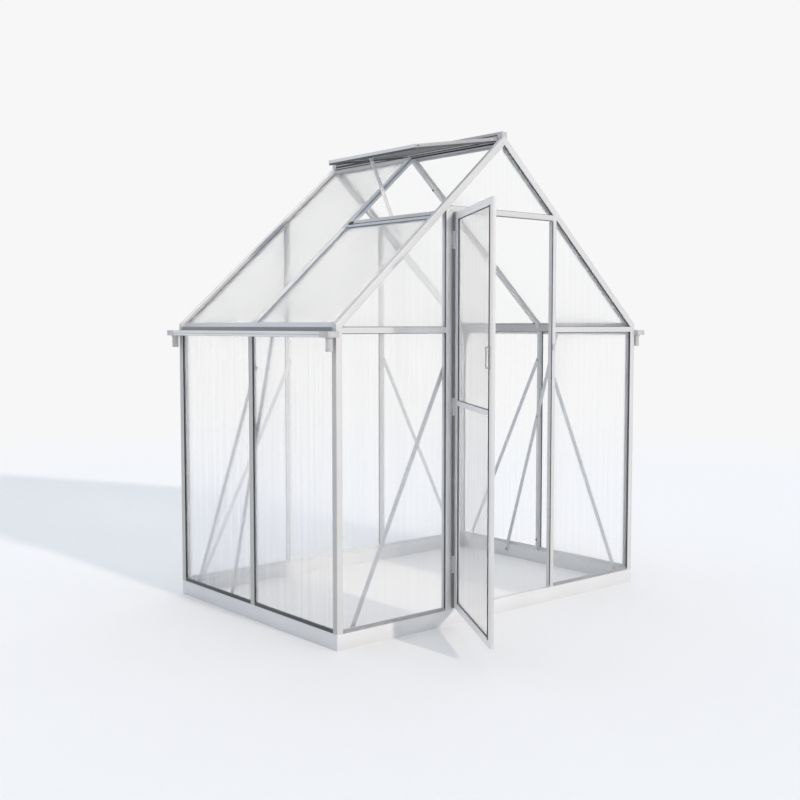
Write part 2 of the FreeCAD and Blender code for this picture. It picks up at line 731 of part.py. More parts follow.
corner_reach = half_width - post_face + pane_reach
side_panes = []
for side in (LEFT, RIGHT):
    for end in (FRONT, REAR):
        pane = new_body(f"side_pane_{SIDE_NAMES[side]}_{END_NAMES[end]}")
        outline = rectangle(end * (half_bar - pane_reach), pane_foot,
                            y_inside(end, post_face - pane_reach), eave_low + pane_reach)
        side_panes.append(prism(pane, "YZ", outline, x_inside(side, pane_near), x_inside(side, pane_far)))
keep_group("side_panes", side_panes)
pane_head = tie_low + pane_reach
upper_foot = tie_top - pane_reach
rafter_reach = post_face - pane_reach
front_inner = door_post_outer - pane_reach
rear_inner = rear_post + half_bar - pane_reach
rear_middle = rear_post - half_bar + pane_reach
front_lower = []
front_upper = []
rear_lower = []
rear_upper = []
for side in (LEFT, RIGHT):
    name = SIDE_NAMES[side]
    for end, inner, lower, upper in ((FRONT, front_inner, front_lower, front_upper),
                                     (REAR, rear_inner, rear_lower, rear_upper)):
        outline = rectangle(side * inner, pane_foot, side * corner_reach, pane_head)
        lower.append(gable_pane(f"{END_NAMES[end]}_pane_lower_{name}", end, outline))
        tip = half_width - post_face - size("edge_play")
        outline = [(side * inner, upper_foot), (side * tip, upper_foot),
                   (side * tip, roof_z(tip, rafter_reach)), (side * inner, roof_z(inner, rafter_reach))]
        upper.append(gable_pane(f"{END_NAMES[end]}_pane_upper_{name}", end, outline))
outline = rectangle(-rear_middle, pane_foot, rear_middle, pane_head)
rear_lower.append(gable_pane("rear_pane_lower_middle", REAR, outline))
for end, run, foot, upper in ((FRONT, door_half - size("edge_play"), head_top - pane_reach, front_upper),
                              (REAR, rear_middle, upper_foot, rear_upper)):
    shoulder = roof_z(run, rafter_reach)
    outline = [(-run, foot), (run, foot), (run, shoulder), (0, roof_z(0, rafter_reach)), (-run, shoulder)]
    upper.append(gable_pane(f"{END_NAMES[end]}_pane_upper_middle", end, outline))
keep_group("front_panes_lower", front_lower)
keep_group("front_panes_upper", front_upper)
keep_group("rear_panes_lower", rear_lower)
keep_group("rear_panes_upper", rear_upper)

# Roof sheets
sheet_low_run = half_width - flange - size("edge_play")
sheet_near = roof_drop + pane_near
sheet_far = roof_drop + pane_far


def roof_sheet(label, side, end, top_run):
    body = new_body(label)
    band = slope_band(side, top_run, sheet_low_run, sheet_near, sheet_far)
    return prism(body, "XZ", band, end * (half_bar - pane_reach), y_inside(end, post_face - pane_reach))


ridge_edge = ridge_half + size("edge_play")
keep_group("roof_panes", [roof_sheet("roof_pane_right_front", RIGHT, FRONT, ridge_edge),
                          roof_sheet("roof_pane_right_rear", RIGHT, REAR, ridge_edge),
                          roof_sheet("roof_pane_left_rear", LEFT, REAR, ridge_edge)])
keep(roof_sheet("roof_pane_below_vent", LEFT, FRONT, sill_mid + size("edge_play")))

# Door, drawn closed in its own frame: origin on the hinge line, X towards the free edge, Y inwards
door_axis_y = y_inside(FRONT, 0) - size("hinge_stand")
leaf_near = size("door_gap")
leaf_far = door_half + hinge_run - size("door_gap")
stile = size("door_stile")
face_y = size("hinge_stand")
back_y = face_y + size("door_thick")
groove_half = size("pane") / 2 + size("pane_play")
groove_mid = (face_y + back_y) / 2
groove_near = groove_mid - groove_half
groove_far = groove_mid + groove_half
door_low = base_height + size("door_floor_gap")
door_high = head_low - size("door_head_gap")
mid_low = size("door_mid_height")
mid_high = mid_low + size("door_mid_rail")


def hang_door(body):
    set_place(body, -hinge_run, door_axis_y, 0, (0, 0, 1), -size("door_open"))
    return body


def channel(edge, mouth, near, far, groove0, groove1, reach):
    """U outline: (along, across) from a closed edge to a mouth that takes the edge of a pane."""
    floor = mouth - reach
    return [(edge, near), (mouth, near), (mouth, groove0), (floor, groove0), (floor, groove1),
            (mouth, groove1), (mouth, far), (edge, far)]


inner_near = leaf_near + stile
inner_far = leaf_far - stile
for label, edge, mouth, reach in (("door_hinge_stile", leaf_near, inner_near, bite),
                                  ("door_free_stile", leaf_far, inner_far, -bite)):
    body = new_body(label)
    prism(body, "XY", channel(edge, mouth, face_y, back_y, groove_near, groove_far, reach), door_low, door_high)
    keep(hang_door(body))
door_rails = []
for label, edge, mouth, reach in (("door_top_rail", door_high, door_high - stile, -bite),
                                  ("door_bottom_rail", door_low, door_low + stile, bite)):
    body = new_body(label)
    outline = [(across, along) for along, across in
               channel(edge, mouth, face_y, back_y, groove_near, groove_far, reach)]
    prism(body, "YZ", outline, inner_near, inner_far)
    door_rails.append(hang_door(body))
keep_group("door_rails", door_rails)
mid_rail = new_body("door_mid_rail")
mid_corners = [(face_y, mid_low), (groove_near, mid_low), (groove_near, mid_low + bite),
               (groove_far, mid_low + bite), (groove_far, mid_low), (back_y, mid_low), (back_y, mid_high),
               (groove_far, mid_high), (groove_far, mid_high - bite), (groove_near, mid_high - bite),
               (groove_near, mid_high), (face_y, mid_high)]
prism(mid_rail, "YZ", mid_corners, inner_near, inner_far)
keep(hang_door(mid_rail))
door_panes = []
for label, low, high in (("door_pane_lower", door_low + stile, mid_low),
                         ("door_pane_upper", mid_high, door_high - stile)):
    body = new_body(label)
    outline = rectangle(inner_near - pane_reach, low - pane_reach, inner_far + pane_reach, high + pane_reach)
    prism(body, "XZ", outline, groove_near + size("pane_play"), groove_far - size("pane_play"))
    door_panes.append(hang_door(body))
keep_group("door_panes", door_panes)

# Three butt hinges: the post leaf has the middle knuckle, the door leaf the upper and lower ones.
pin_radius = size("hinge_pin_radius")
pin_hole = pin_radius + size("bolt_play")
knuckle_radius = size("knuckle_radius")
knuckle_clear = size("knuckle_clear")
leaf_front = face_y - size("hinge_leaf")
door_leaves = []
post_leaves = []
pins = []
for name in ("low", "middle", "high"):
    centre = size("hinge_" + name)
    half = size("hinge_height") / 2
    third = size("hinge_height") / 6
    play = size("knuckle_play")
    leaf = new_body("post_hinge_leaf_" + name)
    leaf_edge = size("edge_play") - size("hinge_leaf_width")
    prism(leaf, "XY", rectangle(leaf_edge, leaf_front, -knuckle_clear, face_y), centre - half, centre + half)
    prism(leaf, "XY", rectangle(-knuckle_clear, leaf_front, 0, face_y), centre - third, centre + third)
    prism(leaf, "XY", [], centre - third, centre + third, [(0, 0, knuckle_radius)])
    cut(leaf, "XY", [], centre - third, centre + third, [(0, 0, pin_hole)])
    set_place(leaf, -hinge_run, door_axis_y, 0, (0, 0, 1), formula(0))
    post_leaves.append(leaf)
    leaf = new_body("door_hinge_leaf_" + name)
    prism(leaf, "XY", rectangle(knuckle_clear, leaf_front, knuckle_clear + size("hinge_leaf_width"), face_y),
          centre - half, centre + half)
    for low, high in ((centre - half, centre - third - play), (centre + third + play, centre + half)):
        prism(leaf, "XY", rectangle(0, leaf_front, knuckle_clear, face_y), low, high)
        prism(leaf, "XY", [], low, high, [(0, 0, knuckle_radius)])
        cut(leaf, "XY", [], low, high, [(0, 0, pin_hole)])
    door_leaves.append(hang_door(leaf))
    pin = new_body("hinge_pin_" + name)
    prism(pin, "XY", [], centre - half, centre + half, [(0, 0, pin_radius)])
    set_place(pin, -hinge_run, door_axis_y, 0, (0, 0, 1), formula(0))
    pins.append(pin)
keep_group("post_hinge_leaves", post_leaves)
keep_group("door_hinge_leaves", door_leaves)
keep_group("hinge_pins", pins)

# Pull handle on the free stile
pull = new_body("door_pull")
pull_low = size("pull_low")
pull_high = pull_low + size("pull_height")
pull_bar = size("pull_bar")
grip_y = face_y - size("pull_reach")
pull_corners = [(face_y, pull_low), (grip_y, pull_low), (grip_y, pull_high), (face_y, pull_high),
                (face_y, pull_high - pull_bar), (grip_y + pull_bar, pull_high - pull_bar),
                (grip_y + pull_bar, pull_low + pull_bar), (face_y, pull_low + pull_bar)]
pull_x = leaf_far - size("pull_inset")
prism(pull, "YZ", pull_corners, pull_x - size("pull_width") / 2, pull_x + size("pull_width") / 2)
keep(hang_door(pull))

# Turn button on the right door post, hanging from its own stud
button = new_body("turn_button")
button_back = y_inside(FRONT, 0) - size("pane_play")
button_half = size("button_width") / 2
outline = rectangle(button_run - button_half, button_height - size("button_tip"),
                    button_run + button_half, button_height + size("button_tail"))
prism(button, "XZ", outline, button_back - size("button_thick"), button_back)
prism(button, "XZ", [], button_back, y_inside(FRONT, size("button_stud") - size("edge_play")),
      [(button_run, button_height, size("bolt_radius"))])
keep(button)

# Vent, drawn flat in its own frame: hinge line along Y through the origin, free edge towards -X
vent_rail = size("vent_rail")
top_edge = -size("vent_top_rail")
free_edge = -vent_length


def hang_vent(body):
    set_place(body, -axis_run, 0, axis_z, (0, 1, 0), vent_slope)
    return body


rail = new_body("vent_top_rail")
outline = channel(-rod_radius, top_edge, -vent_low, vent_high, -groove_half, groove_half, -bite)
prism(rail, "XZ", outline, tube_front, tube_rear)
prism(rail, "XZ", [], tube_front, tube_rear, [(0, 0, vent_low)])
cut(rail, "XZ", [], tube_front, tube_rear, [(0, 0, rod_hole)])
keep(hang_vent(rail))
rail = new_body("vent_bottom_rail")
outline = channel(free_edge, free_edge + vent_rail, -vent_low, vent_high, -groove_half, groove_half, bite)
prism(rail, "XZ", outline, vent_front, vent_rear)
stay_x = free_edge + vent_rail - size("edge_play") * 2
stay_z = -size("stay_drop")
ear_half = size("stay_width") / 2
ear_far = stay_y - size("stay_thick") / 2 - size("stay_gap")
ear_near = ear_far - size("lip")
ear = rectangle(stay_x - ear_half, stay_z - ear_half, stay_x + ear_half, -vent_low)
prism(rail, "XZ", ear, ear_near, ear_far)
cut(rail, "XZ", [], ear_near, ear_far, [(stay_x, stay_z, rod_hole)])
keep(hang_vent(rail))
side_rails = []
for name, edge, mouth, reach in (("front", vent_front, vent_front + vent_rail, bite),
                                 ("rear", vent_rear, vent_rear - vent_rail, -bite)):
    body = new_body("vent_side_rail_" + name)
    outline = channel(edge, mouth, -vent_low, vent_high, -groove_half, groove_half, reach)
    prism(body, "YZ", outline, free_edge + vent_rail, top_edge)
    side_rails.append(hang_vent(body))
keep_group("vent_side_rails", side_rails)
pane = new_body("vent_pane")
outline = rectangle(free_edge + vent_rail - pane_reach, vent_front + vent_rail - pane_reach,
                    top_edge + pane_reach, vent_rear - vent_rail + pane_reach)
prism(pane, "XY", outline, -size("pane") / 2, size("pane") / 2)
keep(hang_vent(pane))

# Stay, drawn hanging in its own frame: origin at its stud in the vent's ear, length towards -Z
stay_pivot_x = -axis_run + stay_x * cosine(vent_slope) + stay_z * sine(vent_slope)
stay_pivot_z = axis_z - stay_x * sine(vent_slope) + stay_z * cosine(vent_slope)
stay_lean = size("stay_lean")
stay = new_body("vent_stay")
stay_half = size("stay_width") / 2
stay_thick_half = size("stay_thick") / 2
stay_shoulder = stay_half - size("stay_corner")
stay_tip = -size("stay_length")
outline = [(-stay_half, stay_tip), (stay_half, stay_tip), (stay_half, stay_shoulder),
           (stay_shoulder, stay_half), (-stay_shoulder, stay_half), (-stay_half, stay_shoulder)]
hole_steps = range(-HOLES_BELOW_PEG, HOLES_ABOVE_PEG + 1)
hole_heights = [step * size("stay_hole_pitch") - size("peg_reach") for step in hole_steps]
prism(stay, "XZ", outline, -stay_thick_half, stay_thick_half,
      [(0, height, size("stay_hole_radius")) for height in hole_heights])
prism(stay, "XZ", [], -stay_thick_half, ear_near - stay_y - size("edge_play"), [(0, 0, rod_radius)])
set_place(stay, stay_pivot_x, stay_y, stay_pivot_z, (0, 1, 0), -stay_lean)
keep(stay)

# Bracket on the sill with the peg that takes one of the stay's holes
bracket = new_body("stay_peg_bracket")
peg_x = stay_pivot_x + size("peg_reach") * sine(stay_lean)
peg_z = stay_pivot_z - size("peg_reach") * cosine(stay_lean)
peg_radius = size("peg_radius")
peg_near = stay_y + stay_thick_half + size("stay_gap")
arm_near = peg_near + size("bracket_thick")
arm_far = arm_near + size("bracket_thick")
arm_low = roof_z(sill_top, sill_drop)
arm = [(-sill_top, arm_low), (peg_x + 2 * peg_radius, peg_z - 2 * peg_radius),
       (peg_x + 2 * peg_radius, peg_z + peg_radius), (-sill_top, peg_z + peg_radius)]
prism(bracket, "XZ", arm, arm_near, arm_far)
prism(bracket, "XZ", [], peg_near, arm_near, [(peg_x, peg_z, peg_radius)])
keep(bracket)

doc.recompute()

for item in doc.Objects:
    if "Invalid" in item.State or "Error" in item.State:
        raise RuntimeError(f"{item.Label} is {item.State}")
for label, item in nodes.items():
    if item.Shape.isNull() or not item.Shape.isValid():
        raise RuntimeError(f"{label} has no valid shape")
    item.Shape.exportStep(f"parts/{label}.step")
print(len(nodes), "parts written")
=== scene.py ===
import json
import math

import bmesh
import bpy
from mathutils import Matrix, Vector

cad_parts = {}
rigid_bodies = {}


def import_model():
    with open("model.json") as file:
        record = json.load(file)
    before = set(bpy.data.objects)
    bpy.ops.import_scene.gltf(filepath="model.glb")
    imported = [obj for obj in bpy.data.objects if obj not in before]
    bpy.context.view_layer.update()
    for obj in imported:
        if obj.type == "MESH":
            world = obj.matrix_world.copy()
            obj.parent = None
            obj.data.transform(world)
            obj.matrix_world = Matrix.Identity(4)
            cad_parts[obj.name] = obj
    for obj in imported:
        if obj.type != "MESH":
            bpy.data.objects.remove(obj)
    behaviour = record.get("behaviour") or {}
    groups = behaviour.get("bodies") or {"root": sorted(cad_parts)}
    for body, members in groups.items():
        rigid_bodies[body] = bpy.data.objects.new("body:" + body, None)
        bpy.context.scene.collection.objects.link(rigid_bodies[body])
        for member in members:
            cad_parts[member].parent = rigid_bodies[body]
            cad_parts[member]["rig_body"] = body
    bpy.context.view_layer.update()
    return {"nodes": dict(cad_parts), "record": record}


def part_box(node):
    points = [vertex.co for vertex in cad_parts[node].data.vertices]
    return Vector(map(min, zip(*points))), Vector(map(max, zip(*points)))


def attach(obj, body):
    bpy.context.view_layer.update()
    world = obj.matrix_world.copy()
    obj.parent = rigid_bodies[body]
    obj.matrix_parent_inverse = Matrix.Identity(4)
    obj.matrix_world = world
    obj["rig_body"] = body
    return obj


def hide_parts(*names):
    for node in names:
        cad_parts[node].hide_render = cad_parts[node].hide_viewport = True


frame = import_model()

NODES = frame["nodes"]
SLOT_OF = {row["node"]: row["material_slot"] for row in frame["record"]["subparts"]}

MM = 0.001
ACROSS = Vector((1.0, 0.0, 0.0))
DEEP = Vector((0.0, 1.0, 0.0))
UP = Vector((0.0, 0.0, 1.0))

# How a CAD node is cleaned and its edges are softened
MERGE_GAP = 0.001 * MM
SAME_LEVEL = 0.1 * MM
FLAT_ANGLE = math.radians(0.5)
SHARP_ANGLE = math.radians(30.0)
SMOOTH_ANGLE = math.radians(25.0)
UPRIGHT_LIMIT = 0.1
BAR_EDGE = 0.7 * MM
STRAP_EDGE = 0.5 * MM
SEAL_EDGE = 0.6 * MM
LEAST_EDGE = 7.0 * MM
EDGE_STEPS = 2
TURN_STEPS = 20

# A screw's domed head with its socket, as shares of its radius, and how far it is sunk
SCREW_PROFILE = ((1.0, 0.35), (0.75, 0.65), (0.4, 0.72), (0.36, 0.3), (0.0, 0.3))
SCREW_SINK = 0.3 * MM
SCREW_STEPS = 14


def in_mm(values):
    """Lengths given in millimetres, as metres."""
    return tuple(value * MM for value in values)


def node_shape(node):
    """A CAD node as a clean bmesh, its loose triangles merged and its flat faces joined."""
    shape = bmesh.new()
    shape.from_mesh(NODES[node].data)
    bmesh.ops.remove_doubles(shape, verts=shape.verts[:], dist=MERGE_GAP)
    bmesh.ops.dissolve_limit(shape, angle_limit=FLAT_ANGLE, verts=shape.verts[:], edges=shape.edges[:])
    return shape


def solids_of(shape):
    """The vertices of each separate solid in a shape."""
    waiting = set(shape.verts)
    groups = []
    for first in shape.verts:
        if first not in waiting:
            continue
        waiting.discard(first)
        group = [first]
        for vert in group:
            for edge in vert.link_edges:
                other = edge.other_vert(vert)
                if other in waiting:
                    waiting.discard(other)
                    group.append(other)
        groups.append(group)
    return groups


def solid_boxes(node):
    """Lowest and highest corner of each separate solid of a CAD node."""
    shape = node_shape(node)
    boxes = []
    for group in solids_of(shape):
        low = Vector([min(vert.co[axis] for vert in group) for axis in range(3)])
        high = Vector([max(vert.co[axis] for vert in group) for axis in range(3)])
        boxes.append((low, high))
    shape.free()
    return boxes


def bevel(shape, edges, width, steps=EDGE_STEPS):
    bmesh.ops.bevel(shape, geom=edges, offset=width, offset_type="OFFSET", segments=steps, profile=0.5,
                    affect="EDGES", clamp_overlap=True, material=-1)


def sharp_edges(shape, least):
    """Edges longer than a length where the surface turns."""
    return [edge for edge in shape.edges
            if edge.is_manifold and edge.calc_length() > least and edge.calc_face_angle() > SHARP_ANGLE]


def outer_edges(shape, least):
    """Edges longer than a length that turn outwards."""
    return [edge for edge in sharp_edges(shape, least) if edge.is_convex]


def cut(shape, point, normal):
    """Splits the faces of a shape along a plane."""
    bmesh.ops.bisect_plane(shape, geom=shape.verts[:] + shape.edges[:] + shape.faces[:], dist=MERGE_GAP,
                           plane_co=point, plane_no=normal)


def thicken(shape, way):
    """Makes closed solids of flat faces."""
    made = bmesh.ops.extrude_face_region(shape, geom=shape.faces[:], use_keep_orig=True)
    moved = [item for item in made["geom"] if isinstance(item, bmesh.types.BMVert)]
    bmesh.ops.translate(shape, verts=moved, vec=way)
    bmesh.ops.recalc_face_normals(shape, faces=shape.faces[:])


def add_shape(target, part):
    """Moves a finished bmesh into another one."""
    carrier = bpy.data.meshes.new("carrier")
    part.to_mesh(carrier)
    part.free()
    target.from_mesh(carrier)
    bpy.data.meshes.remove(carrier)


def add_bar(target, outline, way, edge):
    """A closed bar, made by pushing a flat outline along a way."""
    part = bmesh.new()
    part.faces.new([part.verts.new(corner) for corner in outline])
    thicken(part, way)
    bevel(part, outer_edges(part, 0.0), edge)
    add_shape(target, part)


def add_block(target, low, high, edge):
    """A block between two corners with rounded edges."""
    part = bmesh.new()
    middle = (Vector(low) + Vector(high)) / 2.0
    reach = Vector(high) - Vector(low)
    place = Matrix.Translation(middle) @ Matrix.Diagonal((*reach, 1.0))
    bmesh.ops.create_cube(part, size=1.0, matrix=place)
    bevel(part, part.edges[:], edge)
    bmesh.ops.recalc_face_normals(part, faces=part.faces[:])
    add_shape(target, part)


def add_turned(target, profile, foot, axis, steps=TURN_STEPS):
    """A round piece, turned from pairs of radius and height about an axis that starts at its foot."""
    part = bmesh.new()
    rim = [part.verts.new((radius, 0.0, height)) for radius, height in profile]
    lines = [part.edges.new(pair) for pair in zip(rim, rim[1:])]
    bmesh.ops.spin(part, geom=rim + lines, cent=(0.0, 0.0, 0.0), axis=UP, dvec=(0.0, 0.0, 0.0),
                   angle=math.tau, steps=steps, use_merge=True)
    bmesh.ops.remove_doubles(part, verts=part.verts[:], dist=MERGE_GAP)
    bmesh.ops.recalc_face_normals(part, faces=part.faces[:])
    turn = UP.rotation_difference(axis).to_matrix().to_4x4()
    bmesh.ops.transform(part, matrix=Matrix.Translation(foot) @ turn, verts=part.verts[:])
    add_shape(target, part)


def add_screw(target, foot, axis, radius):
    """A domed screw head with a socket in it, sunk a little into what it holds."""
    profile = [(0.0, -SCREW_SINK), (radius, -SCREW_SINK)]
    profile.extend((across * radius, height * radius) for across, height in SCREW_PROFILE)
    add_turned(target, profile, foot, axis, SCREW_STEPS)


def longest_way(shape):
    """Direction of the longest edge, which is the way a bar was drawn."""
    edge = max(shape.edges, key=lambda item: item.calc_length())
    return (edge.verts[1].co - edge.verts[0].co).normalized()


def lay_grain(shape, along):
    """UV in metres, U along the piece and V across it."""
    grain = shape.loops.layers.uv.new("grain")
    side = along.cross(UP)
    if side.length < UPRIGHT_LIMIT:
        side = ACROSS.copy()
    side.normalize()
    other = along.cross(side)
    for face in shape.faces:
        for loop in face.loops:
            spot = loop.vert.co
            loop[grain].uv = (spot.dot(along), spot.dot(side) + spot.dot(other))


def finish_piece(shape, name, materials, body, along=None, nodes=()):
    """Makes a bmesh a piece of the greenhouse that rides on a body."""
    lay_grain(shape, along or longest_way(shape))
    mesh = bpy.data.meshes.new(name)
    shape.to_mesh(mesh)
    shape.free()
    for spare in [layer.name for layer in mesh.attributes if layer.name in ("custom_normal", "UVMap")]:
        mesh.attributes.remove(mesh.attributes[spare])
    mesh.shade_smooth()
    mesh.set_sharp_from_angle(angle=SMOOTH_ANGLE)
    for material in materials:
        mesh.materials.append(material)
    piece = bpy.data.objects.new(name, mesh)
    bpy.context.scene.collection.objects.link(piece)
    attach(piece, body)
    if nodes:
        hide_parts(*nodes)


def dress(node, materials, edge=BAR_EDGE, choose=None):
    """A CAD node with its long edges softened; `choose` gives the number of a face's material."""
    shape = node_shape(node)
    bevel(shape, outer_edges(shape, LEAST_EDGE), edge)
    if choose:
        for face in shape.faces:
            face.material_index = choose(face.normal)
    finish_piece(shape, node + "_finished", materials, NODES[node]["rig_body"], nodes=[node])


# Materials

SHEET_BENDING = 1.1
BAR_GLOSS = 0.25
VENT_GLOSS = 0.15


def new_material(name):
    material = bpy.data.materials.new(name)
    material.use_nodes = True
    tree = material.node_tree
    return material, tree, tree.nodes["Principled BSDF"]


def grain_noise(tree, along, across, detail=2.0):
    """Noise stretched along a piece, with its features per metre along and across it."""
    layer = tree.nodes.new("ShaderNodeUVMap")
    layer.uv_map = "grain"
    mapping = tree.nodes.new("ShaderNodeMapping")
    mapping.inputs["Scale"].default_value = (along, across, 1.0)
    noise = tree.nodes.new("ShaderNodeTexNoise")
    noise.inputs["Scale"].default_value = 1.0
    noise.inputs["Detail"].default_value = detail
    tree.links.new(layer.outputs["UV"], mapping.inputs["Vector"])
    tree.links.new(mapping.outputs["Vector"], noise.inputs["Vector"])
    return noise.outputs["Fac"]


def cloud_noise(tree, scale, detail=3.0):
    """Soft noise in the object's own space."""
    place = tree.nodes.new("ShaderNodeTexCoord")
    noise = tree.nodes.new("ShaderNodeTexNoise")
    noise.inputs["Scale"].default_value = scale
    noise.inputs["Detail"].default_value = detail
    tree.links.new(place.outputs["Object"], noise.inputs["Vector"])
    return noise.outputs["Fac"]


def spread(tree, value, low, high, start=0.3, stop=0.7):
    """Maps a noise value to a range."""
    mapped = tree.nodes.new("ShaderNodeMapRange")
    mapped.inputs["From Min"].default_value = start
    mapped.inputs["From Max"].default_value = stop
    mapped.inputs["To Min"].default_value = low
    mapped.inputs["To Max"].default_value = high
    tree.links.new(value, mapped.inputs["Value"])
    return mapped.outputs["Result"]


def calculate(tree, kind, first, second):
    """Joins a node's value and a second value or number by a kind of sum."""
    item = tree.nodes.new("ShaderNodeMath")
    item.operation = kind
    tree.links.new(first, item.inputs[0])
    if isinstance(second, float):
        item.inputs[1].default_value = second
    else:
        tree.links.new(second, item.inputs[1])
    return item.outputs["Value"]


def average(tree, first, second):
    return calculate(tree, "MULTIPLY", calculate(tree, "ADD", first, second), 0.5)


def tint(tree, value, dark, light, start=0.3, stop=0.7):
    """A colour between two colours."""
    ramp = tree.nodes.new("ShaderNodeValToRGB")
    ramp.color_ramp.elements[0].position = start
    ramp.color_ramp.elements[1].position = stop
    ramp.color_ramp.elements[0].color = (*dark, 1.0)
    ramp.color_ramp.elements[1].color = (*light, 1.0)
    tree.links.new(value, ramp.inputs["Fac"])
    return ramp.outputs["Color"]


def shaded(colour, factor):
    return tuple(part * factor for part in colour)


def paint(tree, shader, value, colour, darkest, lightest):
    """Colours a surface between a dark and a light shade of one colour."""
    shades = tint(tree, value, shaded(colour, darkest), shaded(colour, lightest))
    tree.links.new(shades, shader.inputs["Base Color"])


def roughen(tree, shader, value, roughness, change):
    """Varies a surface's roughness by a change to both sides."""
    tree.links.new(spread(tree, value, roughness - change, roughness + change), shader.inputs["Roughness"])


def bump(tree, shader, value, strength, depth):
    item = tree.nodes.new("ShaderNodeBump")
    item.inputs["Strength"].default_value = strength
    item.inputs["Distance"].default_value = depth
    tree.links.new(value, item.inputs["Height"])
    tree.links.new(item.outputs["Normal"], shader.inputs["Normal"])


def blend_shaders(tree, share, first, second, output):
    """Shows a second shader in place of a first one by a share from 0 to 1."""
    blend = tree.nodes.new("ShaderNodeMixShader")
    tree.links.new(share, blend.inputs["Fac"])
    tree.links.new(first, blend.inputs[1])
    tree.links.new(second, blend.inputs[2])
    tree.links.new(blend.outputs["Shader"], tree.nodes[output].inputs["Surface"])


def drawn_metal(name, colour, metallic, roughness):
    """Satin metal with faint lines along the way it was drawn."""
    material, tree, shader = new_material(name)
    lines = grain_noise(tree, along=3.0, across=650.0)
    clouds = cloud_noise(tree, scale=5.0)
    paint(tree, shader, average(tree, lines, clouds), colour, darkest=0.93, lightest=1.05)
    roughen(tree, shader, lines, roughness, change=0.06)
    shader.inputs["Metallic"].default_value = metallic
    shader.inputs["Specular IOR Level"].default_value = BAR_GLOSS
    bump(tree, shader, lines, strength=0.15, depth=0.2 * MM)
    return material


def zinc_plated(name, colour):
    """Plated steel with small pale and dark flakes."""
    material, tree, shader = new_material(name)
    flakes = cloud_noise(tree, scale=420.0, detail=4.0)
    paint(tree, shader, flakes, colour, darkest=0.82, lightest=1.12)
    roughen(tree, shader, flakes, roughness=0.38, change=0.1)
    shader.inputs["Metallic"].default_value = 0.6
    bump(tree, shader, flakes, strength=0.1, depth=0.1 * MM)
    return material


def moulded(name, colour, roughness, grain_depth):
    """Plastic or rubber with a fine moulded grain."""
    material, tree, shader = new_material(name)
    grain = cloud_noise(tree, scale=900.0, detail=2.0)
    clouds = cloud_noise(tree, scale=30.0)
    paint(tree, shader, clouds, colour, darkest=0.9, lightest=1.1)
    roughen(tree, shader, grain, roughness, change=0.07)
    bump(tree, shader, grain, strength=0.2, depth=grain_depth)
    return material


def glazing(name, colour, veil, streak_veil, roughness):
    """Twin-wall sheet: some light goes straight through and a streaky veil scatters the rest."""
    material, tree, shader = new_material(name)
    broad = grain_noise(tree, along=0.6, across=38.0)
    fine = grain_noise(tree, along=1.2, across=170.0)
    streaks = average(tree, broad, fine)
    paint(tree, shader, streaks, colour, darkest=0.99, lightest=1.0)
    roughen(tree, shader, broad, roughness, change=0.02)
    shader.inputs["Transmission Weight"].default_value = 1.0
    shader.inputs["IOR"].default_value = SHEET_BENDING
    seen = spread(tree, streaks, veil, veil + streak_veil, start=0.42, stop=0.62)
    light = tree.nodes.new("ShaderNodeLightPath")
    thick = calculate(tree, "MAXIMUM", seen, light.outputs["Is Shadow Ray"])
    tree.links.new(thick, shader.inputs["Alpha"])
    bump(tree, shader, broad, strength=0.015, depth=0.3 * MM)
    return material


def shaded_dark_sheet(name, colour, veil, veil_change):
    """Grey sheet that hides most of what is behind it, with faint streaks; its grey is painted shade."""
    material, tree, shader = new_material(name)
    streaks = grain_noise(tree, along=0.8, across=90.0)
    paint(tree, shader, streaks, colour, darkest=0.9, lightest=1.08)
    roughen(tree, shader, streaks, roughness=0.56, change=0.06)
    tree.links.new(spread(tree, streaks, veil - veil_change, veil + veil_change), shader.inputs["Alpha"])
    shader.inputs["Specular IOR Level"].default_value = VENT_GLOSS
    bump(tree, shader, streaks, strength=0.1, depth=0.2 * MM)
    return material


# Metals: colour, how metallic, roughness
satin_bar = drawn_metal("satin_bar", (0.63, 0.638, 0.65), 0.15, 0.55)
# Darker: painted shade on the front channels and on the eave beams' inner sides.
shaded_inner_bar = drawn_metal("shaded_inner_bar", (0.48, 0.486, 0.497), 0.15, 0.55)
# Darker: painted shade on the vent's rails.
shaded_vent_bar = drawn_metal("shaded_vent_bar", (0.42, 0.428, 0.44), 0.15, 0.5)
# Darker: painted shade on the ridge beam.
shaded_ridge_bar = drawn_metal("shaded_ridge_bar", (0.46, 0.467, 0.48), 0.15, 0.55)
# Bluish: a painted sky reflection on the vent sill and the middle left rafter.
sky_tinted_sill_bar = drawn_metal("sky_tinted_sill_bar", (0.60, 0.625, 0.67), 0.2, 0.5)
# Darker than the satin bars: painted shade on the posts' outer sides.
shaded_post_side_bar = drawn_metal("shaded_post_side_bar", (0.52, 0.515, 0.51), 0.15, 0.55)
# Paler than the satin bars: a painted highlight on the door bars' outer faces.
lit_door_face_bar = drawn_metal("lit_door_face_bar", (0.80, 0.80, 0.805), 0.15, 0.55)
# The base rails' own colour, also a painted highlight on the left face of the vent's bottom rail.
base_and_vent_highlight_bar = drawn_metal("base_and_vent_highlight_bar", (0.70, 0.712, 0.73), 0.15, 0.55)
# Bluish and glossy: a painted sky reflection on the eave beams' sloping lip.
sky_sheen_eave_lip_bar = drawn_metal("sky_sheen_eave_lip_bar", (0.55, 0.575, 0.63), 0.3, 0.35)
# Near black: painted shade on the eave beams' outer sides and in the gutters' groove.
shaded_eave_side_bar = drawn_metal("shaded_eave_side_bar", (0.27, 0.275, 0.285), 0.2, 0.45)
gutter_bar = drawn_metal("gutter_bar", (0.72, 0.73, 0.74), 0.15, 0.38)
strap_metal = drawn_metal("strap_metal", (0.60, 0.612, 0.635), 0.3, 0.38)
stay_metal = drawn_metal("stay_metal", (0.74, 0.745, 0.75), 0.2, 0.38)
zinc_fixing = zinc_plated("zinc_fixing", (0.42, 0.425, 0.44))

